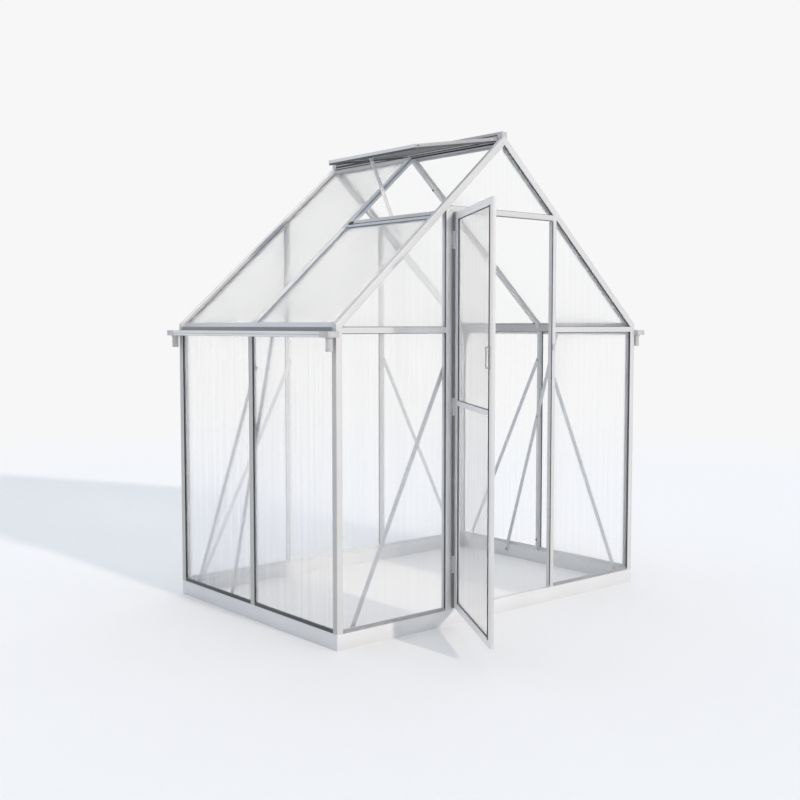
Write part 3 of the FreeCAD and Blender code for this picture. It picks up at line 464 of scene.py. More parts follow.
# Plastics and rubbers: colour, roughness, depth of the grain
outlet_plastic = moulded("outlet_plastic", (0.50, 0.503, 0.51), 0.5, 0.1 * MM)
pull_plastic = moulded("pull_plastic", (0.36, 0.363, 0.37), 0.5, 0.1 * MM)
black_plastic = moulded("black_plastic", (0.035, 0.037, 0.04), 0.42, 0.1 * MM)
# Black seal rubber, also the dark strips of painted shade on the ridge.
black_seal_and_shade_rubber = moulded("black_seal_and_shade_rubber", (0.014, 0.015, 0.016), 0.6, 0.15 * MM)
# Grey seal rubber, also dark strips of painted shade at the side panes' foot and on the latch post.
grey_seal_and_shade_rubber = moulded("grey_seal_and_shade_rubber", (0.085, 0.088, 0.095), 0.55, 0.15 * MM)
# Dark rubber of the hinge tube and of the strip under the door head, both standing for painted shade.
tube_and_shade_rubber = moulded("tube_and_shade_rubber", (0.19, 0.195, 0.205), 0.55, 0.15 * MM)
pale_rubber = moulded("pale_rubber", (0.55, 0.555, 0.565), 0.55, 0.15 * MM)
cover_plastic = moulded("cover_plastic", (0.80, 0.805, 0.815), 0.5, 0.1 * MM)
# Grey strips of painted shade at the foot of the gable panes.
foot_shade_rubber = moulded("foot_shade_rubber", (0.33, 0.335, 0.35), 0.55, 0.15 * MM)

# Sheets: colour, veil, how much the streaks add to it, roughness
fluted_sheet = glazing("fluted_sheet", (1.0, 1.0, 1.0), 0.20, 0.04, 0.6)
rib_wall = glazing("rib_wall", (1.0, 1.0, 1.0), 0.04, 0.08, 0.6)
smooth_sheet = glazing("smooth_sheet", (1.0, 1.0, 1.0), 0.21, 0.02, 0.5)
door_sheet = glazing("door_sheet", (1.0, 1.0, 1.0), 0.32, 0.05, 0.6)
slope_sheet = glazing("slope_sheet", (0.985, 0.992, 1.0), 0.38, 0.0, 0.6)
gable_sheet = glazing("gable_sheet", (1.0, 1.0, 1.0), 0.42, 0.03, 0.6)
# Dark grey and nearly opaque: painted shade on the vent's underside.
shaded_vent_sheet = shaded_dark_sheet("shaded_vent_sheet", (0.19, 0.197, 0.21), veil=0.9, veil_change=0.05)

FINISH_OF_SLOT = {
    "metal_profile": satin_bar,
    "brace_metal": strap_metal,
    "steel_fixings": zinc_fixing,
    "grey_plastic": outlet_plastic,
    "dark_plastic": black_plastic,
}
SHEETS_OF_SLOT = {
    "ribbed_sheet": [fluted_sheet, rib_wall],
    "clear_sheet": [smooth_sheet],
    "roof_sheet": [slope_sheet],
}

# Glazing: sheets with a skin, ribs and flutes, and lips given as width and height

PANE_BITE = 8.0 * MM
SKIN = 0.5 * MM
RIB_PITCH = 12.0 * MM
RIB_WIDTH = 0.8 * MM
RIB_FACING = 0.7
SHEET_MARGIN = 2.0 * MM
SHEET_EDGE = 0.15 * MM
SHEET_EDGE_STEPS = 1
WIDE_SHARE = 0.9
OUTWARD_RISE = 0.3
LIP_THICK = 0.8 * MM
LIP_TIP = 0.3 * MM
WALL_LIP = (2.2 * MM, 2.6 * MM)
SIDE_LIP = (1.6 * MM, 2.6 * MM)
ROOF_LIP = (2.0 * MM, 2.0 * MM)
DOOR_LIP = (2.0 * MM, 1.6 * MM)
HIDDEN_FOOT = PANE_BITE + WALL_LIP[0]
FOOT_LEVEL = 1.0 * MM


def sheets_of(node):
    """Outline, normal and thickness of each flat sheet of a node, taken from its outer face."""
    shape = node_shape(node)
    sheets = []
    for group in solids_of(shape):
        faces = {face for vert in group for face in vert.link_faces}
        largest = max(face.calc_area() for face in faces)
        wide = [face for face in faces if face.calc_area() > WIDE_SHARE * largest]
        middle = sum((vert.co for vert in group), Vector()) / len(group)
        away = Vector((middle.x, middle.y, OUTWARD_RISE))
        face = max(wide, key=lambda item: item.normal.dot(away))
        normal = face.normal.copy()
        depths = [vert.co.dot(normal) for vert in group]
        sheets.append(([vert.co.copy() for vert in face.verts], normal, max(depths) - min(depths)))
    shape.free()
    return sheets


def flat_face(corners, lift):
    """A bmesh of one face, lifted from its corners."""
    shape = bmesh.new()
    face = shape.faces.new([shape.verts.new(corner + lift) for corner in corners])
    face.normal_update()
    return shape, face


def trim(shape, face, width):
    """Cuts a border off a face and gives what is left."""
    border = bmesh.ops.inset_region(shape, faces=[face], thickness=width, use_boundary=True,
                                    use_even_offset=True)["faces"]
    bmesh.ops.delete(shape, geom=border, context="FACES")
    shape.faces.ensure_lookup_table()
    return shape.faces[0]


def add_flutes(target, corners, normal, thickness, along):
    """The hollow channels of a twin-wall sheet, with the ribs left between them."""
    side = normal.cross(along).normalized()
    cells, face = flat_face(corners, -SKIN * normal)
    trim(cells, face, SHEET_MARGIN)
    spots = [vert.co.dot(side) for vert in cells.verts]
    start = min(spots)
    count = round((max(spots) - start) / RIB_PITCH)
    pitch = (max(spots) - start) / count
    for step in range(1, count):
        for shift in (-RIB_WIDTH / 2.0, RIB_WIDTH / 2.0):
            cut(cells, side * (start + step * pitch + shift), side)
    ribs = []
    for cell in cells.faces:
        reach = [vert.co.dot(side) for vert in cell.verts]
        if max(reach) - min(reach) < 2.0 * RIB_WIDTH:
            ribs.append(cell)
    bmesh.ops.delete(cells, geom=ribs, context="FACES")
    thicken(cells, -(thickness - 2.0 * SKIN) * normal)
    bmesh.ops.reverse_faces(cells, faces=cells.faces[:])
    for wall in cells.faces:
        if abs(wall.normal.dot(side)) > RIB_FACING:
            wall.material_index = 1
    add_shape(target, cells)


def add_lips(target, corners, normal, thickness, lip):
    """Seal lips round the seen edge of a sheet, on both faces, sloping from the bars to the sheet."""
    width, height = lip
    for way, face_depth in ((normal, 0.0), (-normal, thickness)):
        seal, face = flat_face(corners, height * way - face_depth * normal)
        seen = trim(seal, face, PANE_BITE)
        bmesh.ops.inset_region(seal, faces=[seen], thickness=width, depth=(LIP_TIP - height) * way.dot(normal),
                               use_boundary=True, use_even_offset=True)
        bmesh.ops.delete(seal, geom=[seen], context="FACES")
        thicken(seal, -LIP_THICK * way)
        add_shape(target, seal)


def glaze(node, along, lip, foot=0.0, fluted=False, sheets=None, rubber=black_seal_and_shade_rubber):
    """Sheets of a node, hollow where they are fluted, and the seal lips that hold them."""
    body = NODES[node]["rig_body"]
    sheet = node_shape(node)
    bevel(sheet, outer_edges(sheet, LEAST_EDGE), SHEET_EDGE, SHEET_EDGE_STEPS)
    seals = bmesh.new()
    for corners, normal, thickness in sheets_of(node):
        way = (along - along.dot(normal) * normal).normalized()
        if fluted:
            add_flutes(sheet, corners, normal, thickness, way)
        low = min(corner.z for corner in corners)
        sunk = [corner - foot * UP if corner.z < low + FOOT_LEVEL else corner for corner in corners]
        add_lips(seals, sunk, normal, thickness, lip)
    finish_piece(sheet, node + "_finished", sheets or SHEETS_OF_SLOT[SLOT_OF[node]], body,
                 along=along, nodes=[node])
    finish_piece(seals, node + "_seals", [rubber], body)


glaze("side_panes", UP, SIDE_LIP, HIDDEN_FOOT, fluted=True)
glaze("rear_panes_lower", UP, WALL_LIP, HIDDEN_FOOT, fluted=True, rubber=grey_seal_and_shade_rubber)
glaze("rear_panes_upper", UP, WALL_LIP, rubber=grey_seal_and_shade_rubber)
glaze("front_panes_lower", UP, WALL_LIP, HIDDEN_FOOT)
glaze("front_panes_upper", UP, ROOF_LIP, sheets=[gable_sheet], rubber=grey_seal_and_shade_rubber)
glaze("door_panes", UP, DOOR_LIP, sheets=[door_sheet])
glaze("roof_panes", UP, ROOF_LIP, rubber=pale_rubber)
glaze("roof_pane_below_vent", UP, ROOF_LIP, rubber=pale_rubber)
glaze("vent_pane", ACROSS, ROOF_LIP, sheets=[shaded_vent_sheet])

# Bars

FINISH_OF_NODE = {
    "base_rail_front": base_and_vent_highlight_bar,
    "base_rail_rear": base_and_vent_highlight_bar,
    "base_rail_left": base_and_vent_highlight_bar,
    "base_rail_right": base_and_vent_highlight_bar,
    "vent_stay": stay_metal,
    # A painted sky reflection on the next two; painted shade on the ridge and vent rails.
    "vent_sill": sky_tinted_sill_bar,
    "rafter_middle_left": sky_tinted_sill_bar,
    "ridge_beam": shaded_ridge_bar,
    "vent_side_rails": shaded_vent_bar,
}
DOOR_BARS = ("door_free_stile", "door_hinge_stile", "door_mid_rail", "door_rails")
LEFT_POSTS = ("corner_post_front_left", "corner_post_rear_left", "side_post_left")
RIGHT_POSTS = ("corner_post_front_right", "corner_post_rear_right", "side_post_right")
OWN_SHAPE = {"gutter_left", "gutter_right", "gutter_outlets", "brace_bolts", "door_pull", "turn_button",
             "eave_beam_left", "eave_beam_right", "vent_bottom_rail", "stay_peg_bracket"}
OWN_SHAPE.update(DOOR_BARS, LEFT_POSTS, RIGHT_POSTS)
DOOR_OPEN = math.radians(-120.6)
SIDE_FACING = 0.9
EAVE_SIDE_FACING = 0.95
EAVE_LIP_RISE = 0.5

for node, slot in SLOT_OF.items():
    if slot in FINISH_OF_SLOT and node not in OWN_SHAPE:
        finish = FINISH_OF_NODE.get(node, FINISH_OF_SLOT[slot])
        dress(node, [finish], BAR_EDGE if slot == "metal_profile" else STRAP_EDGE)


def eave_painted_light(normal):
    """Material number of an eave beam's face: 1 on its left side, 3 on its right, 2 on its sloping lip; the
    sides get painted shade, the lip a painted sky reflection.
    """
    if normal.x < -EAVE_SIDE_FACING:
        return 1
    if normal.x > EAVE_SIDE_FACING:
        return 3
    return 2 if normal.z > EAVE_LIP_RISE else 0


def outer_side(direction):
    """A chooser that picks the second finish on the faces that look in one direction."""
    return lambda normal: 1 if normal.dot(direction) > SIDE_FACING else 0


# The door bars' outer faces take the paler material as a painted highlight.
door_outside = Matrix.Rotation(DOOR_OPEN, 3, "Z") @ -DEEP
for node in DOOR_BARS:
    dress(node, [satin_bar, lit_door_face_bar], choose=outer_side(door_outside))
# The posts' outer sides take the darker material as painted shade.
for node in LEFT_POSTS:
    dress(node, [satin_bar, shaded_post_side_bar], choose=outer_side(-ACROSS))
for node in RIGHT_POSTS:
    dress(node, [satin_bar, shaded_post_side_bar], choose=outer_side(ACROSS))
# The vent's bottom rail is in painted shade, with the paler base colour on its left face as a painted
# highlight.
dress("vent_bottom_rail", [shaded_vent_bar, base_and_vent_highlight_bar], choose=outer_side(-ACROSS))
# Eave beams: painted shade on their sides and a painted sky reflection on their sloping lip.
dress("eave_beam_left", [satin_bar, shaded_eave_side_bar, sky_sheen_eave_lip_bar, shaded_inner_bar], choose=eave_painted_light)
dress("eave_beam_right", [satin_bar, shaded_inner_bar, sky_sheen_eave_lip_bar, shaded_eave_side_bar], choose=eave_painted_light)

# Rain water

GUTTER_ROUND = 8.0 * MM
GUTTER_WALL = 2.0 * MM
GUTTER_ROUND_STEPS = 4
GUTTER_LEAST = 300.0 * MM
LENGTHWISE = 0.99
GROOVE_HEIGHTS = (11.0 * MM, 12.6 * MM)
GROOVE_DEPTH = 0.7 * MM

# Half outlines of an outlet's lip and collar, as radius and height in millimetres
OUTLET_LIP = ((12.8, 0.4), (15.2, 0.4), (16.2, 1.4), (16.2, 4.0), (14.8, 5.2), (12.8, 5.2), (12.8, 0.4))
OUTLET_COLLAR = ((12.8, 0.0), (15.3, 0.0), (18.2, 2.5), (18.2, 7.3), (12.8, 7.3), (12.8, 0.0))
COLLAR_RISE = 49.0 * MM


def press_groove(shape, level):
    """A line pressed into the outer side of a gutter, made dark as painted shade."""
    reach = max(abs(vert.co.x) for vert in shape.verts)
    for height in GROOVE_HEIGHTS:
        cut(shape, (0.0, 0.0, level + height), UP)
    band = []
    for face in shape.faces:
        middle = face.calc_center_median()
        outside = abs(abs(middle.x) - reach) < SAME_LEVEL
        if outside and GROOVE_HEIGHTS[0] < middle.z - level < GROOVE_HEIGHTS[1]:
            band.append(face)
    way = Vector((-math.copysign(GROOVE_DEPTH, band[0].calc_center_median().x), 0.0, 0.0))
    made = bmesh.ops.extrude_face_region(shape, geom=band)["geom"]
    bmesh.ops.translate(shape, verts=[item for item in made if isinstance(item, bmesh.types.BMVert)], vec=way)
    for item in made:
        if isinstance(item, bmesh.types.BMFace):
            item.material_index = 1
    bmesh.ops.delete(shape, geom=band, context="FACES_KEEP_BOUNDARY")


def round_trough(shape, level):
    """Rounds the lower corners of a gutter's trough, inside and out."""
    for height, width in ((GUTTER_WALL, GUTTER_ROUND - GUTTER_WALL), (0.0, GUTTER_ROUND)):
        corners = []
        for edge in sharp_edges(shape, GUTTER_LEAST):
            way = (edge.verts[1].co - edge.verts[0].co).normalized()
            at_level = abs(edge.verts[0].co.z - level - height) < SAME_LEVEL
            if at_level and abs(way.dot(DEEP)) > LENGTHWISE:
                corners.append(edge)
        bevel(shape, corners, width, GUTTER_ROUND_STEPS)


trough_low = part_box("gutter_left")[0].z
for node in ("gutter_left", "gutter_right"):
    gutter = node_shape(node)
    press_groove(gutter, trough_low)
    round_trough(gutter, trough_low)
    finish_piece(gutter, node + "_finished", [gutter_bar, shaded_eave_side_bar], "frame", along=DEEP,
                 nodes=[node])

outlets = node_shape("gutter_outlets")
bevel(outlets, outer_edges(outlets, LEAST_EDGE), BAR_EDGE)
for low, high in solid_boxes("gutter_outlets"):
    foot = (low + high) / 2.0
    foot.z = low.z
    add_turned(outlets, [in_mm(pair) for pair in OUTLET_LIP], foot, UP)
    add_turned(outlets, [in_mm(pair) for pair in OUTLET_COLLAR], foot + COLLAR_RISE * UP, UP)
finish_piece(outlets, "gutter_outlets_finished", [outlet_plastic], "frame", along=DEEP,
             nodes=["gutter_outlets"])

# Fixings

# Half outline of a bolt's washer and domed head with a socket, as radius and height in millimetres
BOLT_PROFILE = ((0.0, 0.2), (6.6, 0.2), (6.6, 1.0), (5.0, 1.0), (5.0, 1.7), (4.0, 3.06), (2.2, 3.74),
                (2.2, 1.94), (0.0, 1.94))
BOLT_HEAD_REACH = 4.0 * MM
PULL_EDGE = 1.8 * MM
BUTTON_EDGE = 1.0 * MM
BRACKET_EDGE = 0.25 * MM

bolts = node_shape("brace_bolts")
for low, high in solid_boxes("brace_bolts"):
    spans = high - low
    middle = (low + high) / 2.0
    axis = max(range(2), key=lambda item: spans[item])
    inward = Vector((0.0, 0.0, 0.0))
    inward[axis] = -math.copysign(1.0, middle[axis])
    head_foot = middle + inward * (spans[axis] / 2.0 - BOLT_HEAD_REACH)
    add_turned(bolts, [in_mm(pair) for pair in BOLT_PROFILE], head_foot, inward)
finish_piece(bolts, "brace_bolts_finished", [zinc_fixing], "frame", along=UP,
             nodes=["brace_bolts"])

dress("door_pull", [pull_plastic], PULL_EDGE)
dress("turn_button", [outlet_plastic], BUTTON_EDGE)
dress("stay_peg_bracket", [FINISH_OF_SLOT[SLOT_OF["stay_peg_bracket"]]], BRACKET_EDGE)


def strip_piece(name, blocks, finish, along, edge=SEAL_EDGE, body="frame", place=None):
    """A piece made of strips, each a block between two corners."""
    shape = bmesh.new()
    for low, high in blocks:
        add_block(shape, low, high, edge)
    if place is not None:
        bmesh.ops.transform(shape, matrix=place, verts=shape.verts[:])
    finish_piece(shape, name, [finish], body, along=along)


def inset_pair(side, face, insets):
    """Two places inside an outer face on one side of the house, the lower one first."""
    return sorted(side * (face - inset) for inset in insets)


# Door seals and shade: a hinge tube, its dark rubber also painted shade, a bead on the free stile, and strips
# of painted shade on the latch post and under the head

TUBE_RADIUS = 6.0 * MM
TUBE_GAP = 1.0 * MM
TUBE_END = 1.5 * MM
BEAD_NEAR = 603.0 * MM
BEAD_FAR = 609.5 * MM
BEAD_PROUD = 2.5 * MM
BEAD_SINK = 5.0 * MM
BEAD_END = 30.0 * MM
BEAD_EDGE = 1.0 * MM
DOOR_FACE = 6.0 * MM
STRIP_PROUD = 1.5 * MM
STRIP_SINK = 0.5 * MM
LATCH_SHADE_DEPTHS = (1.0 * MM, 6.0 * MM)
HEAD_SHADE_END = 3.0 * MM
HEAD_SHADE_MARGIN = 1.0 * MM

pins = sorted(solid_boxes("hinge_pins"), key=lambda pair: pair[0].z)
hinge_line = (pins[0][0] + pins[0][1]) / 2.0
door_foot, door_top = [corner.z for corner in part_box("door_free_stile")]
tube = bmesh.new()
tube_starts = [door_foot] + [high.z + TUBE_GAP for low, high in pins]
tube_stops = [low.z - TUBE_GAP for low, high in pins] + [door_top]
for start, stop in zip(tube_starts, tube_stops):
    reach = stop - start
    add_turned(tube, ((0.0, 0.0), (TUBE_RADIUS - TUBE_END, 0.0), (TUBE_RADIUS, TUBE_END),
                      (TUBE_RADIUS, reach - TUBE_END), (TUBE_RADIUS - TUBE_END, reach), (0.0, reach)),
               Vector((hinge_line.x, hinge_line.y, start)), UP)
finish_piece(tube, "hinge_side_seal_and_shade", [tube_and_shade_rubber], "frame", along=UP)

door_place = Matrix.Translation((hinge_line.x, hinge_line.y, 0.0)) @ Matrix.Rotation(DOOR_OPEN, 4, "Z")
bead = ((BEAD_NEAR, DOOR_FACE - BEAD_PROUD, door_foot + BEAD_END),
        (BEAD_FAR, DOOR_FACE + BEAD_SINK, door_top - BEAD_END))
strip_piece("door_glazing_bead", [bead], black_seal_and_shade_rubber, UP, BEAD_EDGE, "door", door_place)

# A dark strip on the latch post's side: painted shade.
latch_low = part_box("door_post_right")[0]
latch_shade_strip = ((latch_low.x - STRIP_PROUD, latch_low.y + LATCH_SHADE_DEPTHS[0], door_foot),
             (latch_low.x + STRIP_SINK, latch_low.y + LATCH_SHADE_DEPTHS[1], door_top))
strip_piece("door_latch_shade_strip", [latch_shade_strip], grey_seal_and_shade_rubber, UP)

# A dark strip under the door head: painted shade on the rail's underside.
head_low, head_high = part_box("door_head_rail")
head_shade_strip = ((head_low.x + HEAD_SHADE_END, head_low.y + HEAD_SHADE_MARGIN, head_low.z - STRIP_PROUD),
             (head_high.x - HEAD_SHADE_END, head_high.y - HEAD_SHADE_MARGIN, head_low.z + STRIP_SINK))
strip_piece("door_head_shade_strip", [head_shade_strip], tube_and_shade_rubber, ACROSS)

# Dark strips at the foot of the wall panes, ribbed on the side walls: rubber seals whose dark colour is also
# painted shade of the recess there

FOOT_STRIP_DEPTHS = (0.8 * MM, 4.1 * MM)
FOOT_STRIP_EDGE = 1.2 * MM
FOOT_STRIP_RIB = 4.0 * MM
FOOT_STRIP_RIBS = 4
STRIP_LAP = 0.2 * MM
GABLE_STRIP_HEIGHT = 10.0 * MM

post_low, post_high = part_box("side_post_right")
blocks = []
for low, high in solid_boxes("side_panes"):
    start, stop = inset_pair(math.copysign(1.0, low.x), post_high.x, FOOT_STRIP_DEPTHS)
    for step in range(FOOT_STRIP_RIBS):
        foot = low.z + step * FOOT_STRIP_RIB
        blocks.append(((start, low.y + PANE_BITE, foot),
                       (stop, high.y - PANE_BITE, foot + FOOT_STRIP_RIB + STRIP_LAP)))
strip_piece("side_foot_seal_and_shade_strips", blocks, grey_seal_and_shade_rubber, DEEP, FOOT_STRIP_EDGE)

# Grey strips at the foot of the gable panes: painted shade of the recess there.
blocks = []
for node, rail in (("front_panes_lower", "base_rail_front"), ("rear_panes_lower", "base_rail_rear")):
    rail_low, rail_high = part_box(rail)
    face = max(abs(rail_low.y), abs(rail_high.y))
    for low, high in solid_boxes(node):
        start, stop = inset_pair(math.copysign(1.0, low.y), face, FOOT_STRIP_DEPTHS)
        blocks.append(((low.x + PANE_BITE, start, low.z),
                       (high.x - PANE_BITE, stop, low.z + GABLE_STRIP_HEIGHT)))
strip_piece("gable_foot_shade_strips", blocks, foot_shade_rubber, ACROSS, FOOT_STRIP_EDGE)

# Dark strips of painted shade along the left side of the ridge, with their heights above its foot in
# millimetres

RIDGE_HALF = 15.0 * MM
RIDGE_DEPTH = 55.0 * MM
RIDGE_SHADE_STRIPS = ((2.0, 9.0), (14.0, 19.0), (24.0, 34.0), (39.0, 43.0))
RIDGE_STRIP_PROUD = 0.6 * MM
RIDGE_STRIP_END = 2.0 * MM
RIDGE_STRIP_EDGE = 0.5 * MM

ridge_low, ridge_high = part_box("ridge_beam")
ridge_foot = ridge_high.z - RIDGE_DEPTH
blocks = []
for start, stop in RIDGE_SHADE_STRIPS:
    blocks.append(((-RIDGE_HALF - RIDGE_STRIP_PROUD, ridge_low.y + RIDGE_STRIP_END, ridge_foot + start * MM),
                   (-RIDGE_HALF + RIDGE_STRIP_PROUD, ridge_high.y - RIDGE_STRIP_END, ridge_foot + stop * MM)))
strip_piece("ridge_shade_strips", blocks, black_seal_and_shade_rubber, DEEP, RIDGE_STRIP_EDGE)

# Rubber skirt under the roof vent, which closes the gap over its seat

VENT_OPEN_SLOPE = math.radians(-9.4)
VENT_AXIS = Vector((-28.0 * MM, 0.0, 2166.785 * MM))
VENT_LENGTH = 492.6 * MM
VENT_UNDER = -6.5 * MM
SKIRT_HEIGHT = 8.6 * MM
SKIRT_THICK = 2.5 * MM
SKIRT_TOP = 36.0 * MM
SKIRT_INSET = 1.0 * MM
SKIRT_LAP = 1.0 * MM
SKIRT_SINK = 0.5 * MM
SKIRT_EDGE = 0.8 * MM

vent_low, vent_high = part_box("vent_bottom_rail")
skirt_foot = VENT_UNDER - SKIRT_HEIGHT
skirt_head = VENT_UNDER + SKIRT_SINK
skirt_start = -VENT_LENGTH + SKIRT_INSET
blocks = []
for start in (vent_low.y + SKIRT_INSET, vent_high.y - SKIRT_INSET - SKIRT_THICK):
    blocks.append(((skirt_start, start, skirt_foot), (-SKIRT_TOP, start + SKIRT_THICK, skirt_head)))
skirt_end = SKIRT_INSET + SKIRT_THICK - SKIRT_LAP
blocks.append(((skirt_start, vent_low.y + skirt_end, skirt_foot),
               (skirt_start + SKIRT_THICK, vent_high.y - skirt_end, skirt_head)))
vent_place = Matrix.Translation(VENT_AXIS) @ Matrix.Rotation(VENT_OPEN_SLOPE, 4, "Y")
strip_piece("vent_skirt", blocks, grey_seal_and_shade_rubber, DEEP, SKIRT_EDGE, "vent", vent_place)

# Roof slope: a run is measured across from the ridge line, a drop square to the roof from its outer plane

PITCH = math.radians(41.7)
EAVE = 1335.0 * MM

half_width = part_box("base_rail_right")[1].x
half_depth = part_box("base_rail_rear")[1].y


def roof_point(side, run, drop, deep):
    """The point at a run and a drop on one side of the roof."""
    height = EAVE + (half_width - run) * math.tan(PITCH) - drop / math.cos(PITCH)
    return Vector((side * run, deep, height))


def add_roof_bar(target, side, runs, drops, deep, edge):
    """A bar along the roof slope between two runs, two drops and two places along the house."""
    corners = ((runs[0], drops[0]), (runs[1], drops[0]), (runs[1], drops[1]), (runs[0], drops[1]))
    outline = [roof_point(side, run, drop, deep[0]) for run, drop in corners]
    add_bar(target, outline, (deep[1] - deep[0]) * DEEP, edge)


# Channels on the inner side of the corner posts and gable rafters, seen through the panes beside them; the
# front ones are darker as painted shade

CHANNEL_INSETS = (12.2 * MM, 31.0 * MM)
CHANNEL_RUNS = (20.0 * MM, 920.0 * MM)
CHANNEL_DROPS = (21.5 * MM, 34.0 * MM)
CHANNEL_RISE = 17.0 * MM

channel_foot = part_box("corner_post_front_left")[0].z + CHANNEL_RISE
channel_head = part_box("tie_beams_front")[0].z
for end, finish, name in ((-1.0, shaded_inner_bar, "front_shaded_channels"), (1.0, satin_bar, "rear_channels")):
    channels = bmesh.new()
    deep = inset_pair(end, half_depth, CHANNEL_INSETS)
    for side in (-1.0, 1.0):
        across = inset_pair(side, half_width, CHANNEL_INSETS)
        add_block(channels, (across[0], deep[0], channel_foot), (across[1], deep[1], channel_head), BAR_EDGE)
        add_roof_bar(channels, side, CHANNEL_RUNS, CHANNEL_DROPS, deep, BAR_EDGE)
    finish_piece(channels, name, [finish], "frame", along=UP)

# Cover strips on the outer face of the middle and rear roof bars

SHEET_DROP = 9.0 * MM
# Side of the house, runs in millimetres and drop of the bar's outer face
COVERS = {
    "rafter_middle_left": (-1.0, (428.0, 918.0), SHEET_DROP),
    "rafter_middle_right": (1.0, (45.0, 918.0), SHEET_DROP),
    "rafter_rear_left": (-1.0, (45.0, 940.0), 0.0),
    "rafter_rear_right": (1.0, (45.0, 940.0), 0.0),
}
COVER_THICK = 1.0 * MM
COVER_SINK = 0.3 * MM
COVER_INSET = 1.0 * MM
COVER_EDGE = 0.4 * MM

covers = bmesh.new()
for node, (side, runs, face_drop) in COVERS.items():
    low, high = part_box(node)
    drops = (face_drop - COVER_THICK, face_drop + COVER_SINK)
    add_roof_bar(covers, side, in_mm(runs), drops, (low.y + COVER_INSET, high.y - COVER_INSET), COVER_EDGE)
finish_piece(covers, "roof_cover_strips", [cover_plastic], "frame", along=UP)

# Small black screws of the right slope and side post, and the clip and strip of the vent's sill

SCREW = 5.5 * MM
SCREW_RUNS = (140.0 * MM, 890.0 * MM)
SCREW_DROP = 36.0 * MM
POST_SCREW_HEIGHT = 128.0 * MM
CLIP_LOW = (-9.0, -26.0, -4.0)
CLIP_HIGH = (9.0, 0.0, 6.0)
CLIP_EDGE = 2.0 * MM
CLIP_END = 4.0 * MM
SILL_STRIP_RUNS = (-10.0 * MM, -5.0 * MM)
SILL_STRIP_LEVELS = (-2.0 * MM, 1.0 * MM)
SILL_STRIP_END = 8.0 * MM

screws = bmesh.new()
into_house = Vector((-math.sin(PITCH), 0.0, -math.cos(PITCH)))
for run in SCREW_RUNS:
    add_screw(screws, roof_point(1.0, run, SCREW_DROP, 0.0), into_house, SCREW)
add_screw(screws, Vector((post_low.x, 0.0, POST_SCREW_HEIGHT)), -ACROSS, SCREW)
sill_low, sill_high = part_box("vent_sill")
sill_run = -(sill_low.x + sill_high.x) / 2.0
sill_end = roof_point(-1.0, sill_run, SHEET_DROP, sill_high.y - CLIP_END)
sill_place = Matrix.Translation(sill_end) @ Matrix.Rotation(-PITCH, 4, "Y")
clip = bmesh.new()
add_block(clip, in_mm(CLIP_LOW), in_mm(CLIP_HIGH), CLIP_EDGE)
bmesh.ops.transform(clip, matrix=sill_place, verts=clip.verts[:])
add_shape(screws, clip)
finish_piece(screws, "black_screws_and_clip", [black_plastic], "frame", along=UP)

sill_strip = ((SILL_STRIP_RUNS[0], sill_low.y - sill_high.y + SILL_STRIP_END, SILL_STRIP_LEVELS[0]),
              (SILL_STRIP_RUNS[1], 0.0, SILL_STRIP_LEVELS[1]))
strip_piece("sill_strip", [sill_strip], grey_seal_and_shade_rubber, DEEP, place=sill_place)

# Screws of the door's hinges, two on each leaf of the post

HINGE_SCREW = 2.6 * MM
HINGE_SCREW_INSET = 6.0 * MM
HINGE_SCREW_SHARE = 0.36
HINGE_LEAF = 3.0 * MM

pin_length = pins[0][1].z - pins[0][0].z
hinge_screws = bmesh.new()
for low, high in solid_boxes("post_hinge_leaves"):
    middle = (low + high) / 2.0
    for share in (-HINGE_SCREW_SHARE, HINGE_SCREW_SHARE):
        spot = Vector((low.x + HINGE_SCREW_INSET, high.y - HINGE_LEAF, middle.z + share * pin_length))
        add_screw(hinge_screws, spot, -DEEP, HINGE_SCREW)
finish_piece(hinge_screws, "hinge_screws", [zinc_fixing], "frame", along=UP)

# Floor, which fades into the background at a distance

FLOOR_SIZE = 60.0
FLOOR_COLOUR = (0.87, 0.87, 0.872)
BACKGROUND = (0.93, 0.93, 0.93, 1.0)
FADE_START = 5.5
FADE_STOP = 9.0

floor_shape = bmesh.new()
bmesh.ops.create_grid(floor_shape, x_segments=1, y_segments=1, size=FLOOR_SIZE)
floor_mesh = bpy.data.meshes.new("floor")
floor_shape.to_mesh(floor_mesh)
floor_shape.free()
floor = bpy.data.objects.new("floor", floor_mesh)
bpy.context.scene.collection.objects.link(floor)

floor_paint, tree, shader = new_material("floor_paint")
shader.inputs["Base Color"].default_value = (*FLOOR_COLOUR, 1.0)
shader.inputs["Roughness"].default_value = 1.0
shader.inputs["Specular IOR Level"].default_value = 0.0
place = tree.nodes.new("ShaderNodeTexCoord")
distance = tree.nodes.new("ShaderNodeVectorMath")
distance.operation = "LENGTH"
tree.links.new(place.outputs["Object"], distance.inputs[0])
fade = spread(tree, distance.outputs["Value"], 0.0, 1.0, FADE_START, FADE_STOP)
haze = tree.nodes.new("ShaderNodeEmission")
haze.inputs["Color"].default_value = BACKGROUND
blend_shaders(tree, fade, shader.outputs["BSDF"], haze.outputs["Emission"], "Material Output")
floor_mesh.materials.append(floor_paint)

# Sky light, brighter from one side; the camera sees an even background in its place

SKY_LOW = (0.825, 0.85, 0.89)
SKY_HIGH = (0.862, 0.912, 0.988)
SKY_TOP = 0.8
BRIGHT_SIDE = (0.6, 0.8, 0.0)
DIM_SKY = 0.65
BRIGHT_SKY = 1.34

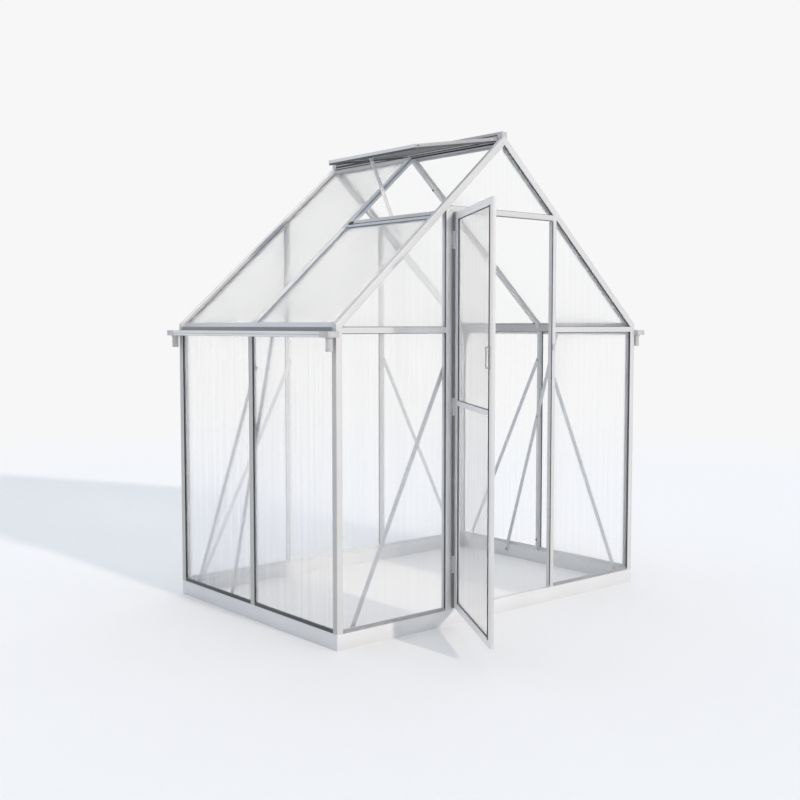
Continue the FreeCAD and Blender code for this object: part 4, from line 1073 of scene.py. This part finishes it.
world = bpy.data.worlds.new("studio")
bpy.context.scene.world = world
world.use_nodes = True
world.cycles.sampling_method = "NONE"
tree = world.node_tree
sky = tree.nodes["Background"]
place = tree.nodes.new("ShaderNodeTexCoord")
parts = tree.nodes.new("ShaderNodeSeparateXYZ")
tree.links.new(place.outputs["Generated"], parts.inputs["Vector"])
facing = tree.nodes.new("ShaderNodeVectorMath")
facing.operation = "DOT_PRODUCT"
facing.inputs[1].default_value = BRIGHT_SIDE
tree.links.new(place.outputs["Generated"], facing.inputs[0])
tree.links.new(tint(tree, parts.outputs["Z"], SKY_LOW, SKY_HIGH, 0.0, SKY_TOP), sky.inputs["Color"])
tree.links.new(spread(tree, facing.outputs["Value"], DIM_SKY, BRIGHT_SKY, -1.0, 1.0), sky.inputs["Strength"])
backdrop = tree.nodes.new("ShaderNodeBackground")
backdrop.inputs["Color"].default_value = BACKGROUND
path = tree.nodes.new("ShaderNodeLightPath")
shown = calculate(tree, "MAXIMUM", path.outputs["Is Camera Ray"], path.outputs["Is Glossy Ray"])
shown = calculate(tree, "MAXIMUM", shown, path.outputs["Is Transmission Ray"])
blend_shaders(tree, shown, sky.outputs["Background"], backdrop.outputs["Background"], "World Output")

# Key light and camera

KEY_ENERGY = 1.5
KEY_COLOUR = (1.0, 0.89, 0.78)
KEY_ANGLE = math.radians(2.5)
KEY_FROM = Vector((0.032, -0.92, 0.39))
LENS = 49.23
SENSOR_WIDTH = 36.0
CAMERA_PLACE = (-3.577, -4.160, 1.329)
CAMERA_TILT = math.radians(90.0 - 3.90)
CAMERA_TURN = math.radians(-40.07)
CLEAR_BOUNCES = 64
LIGHT_BOUNCES = 24

key = bpy.data.lights.new("key_light", "SUN")
key.energy = KEY_ENERGY
key.color = KEY_COLOUR
key.angle = KEY_ANGLE
key.cycles.use_multiple_importance_sampling = False
lamp = bpy.data.objects.new("key_light", key)
lamp.rotation_euler = KEY_FROM.to_track_quat("Z", "Y").to_euler()
bpy.context.scene.collection.objects.link(lamp)

camera_data = bpy.data.cameras.new("camera")
camera_data.lens = LENS
camera_data.sensor_width = SENSOR_WIDTH
camera = bpy.data.objects.new("camera", camera_data)
camera.location = CAMERA_PLACE
camera.rotation_euler = (CAMERA_TILT, 0.0, CAMERA_TURN)
bpy.context.scene.collection.objects.link(camera)
bpy.context.scene.camera = camera
bpy.context.scene.view_settings.view_transform = "Standard"
bpy.context.scene.cycles.transparent_max_bounces = CLEAR_BOUNCES
bpy.context.scene.cycles.max_bounces = LIGHT_BOUNCES
bpy.context.scene.cycles.transmission_bounces = LIGHT_BOUNCES
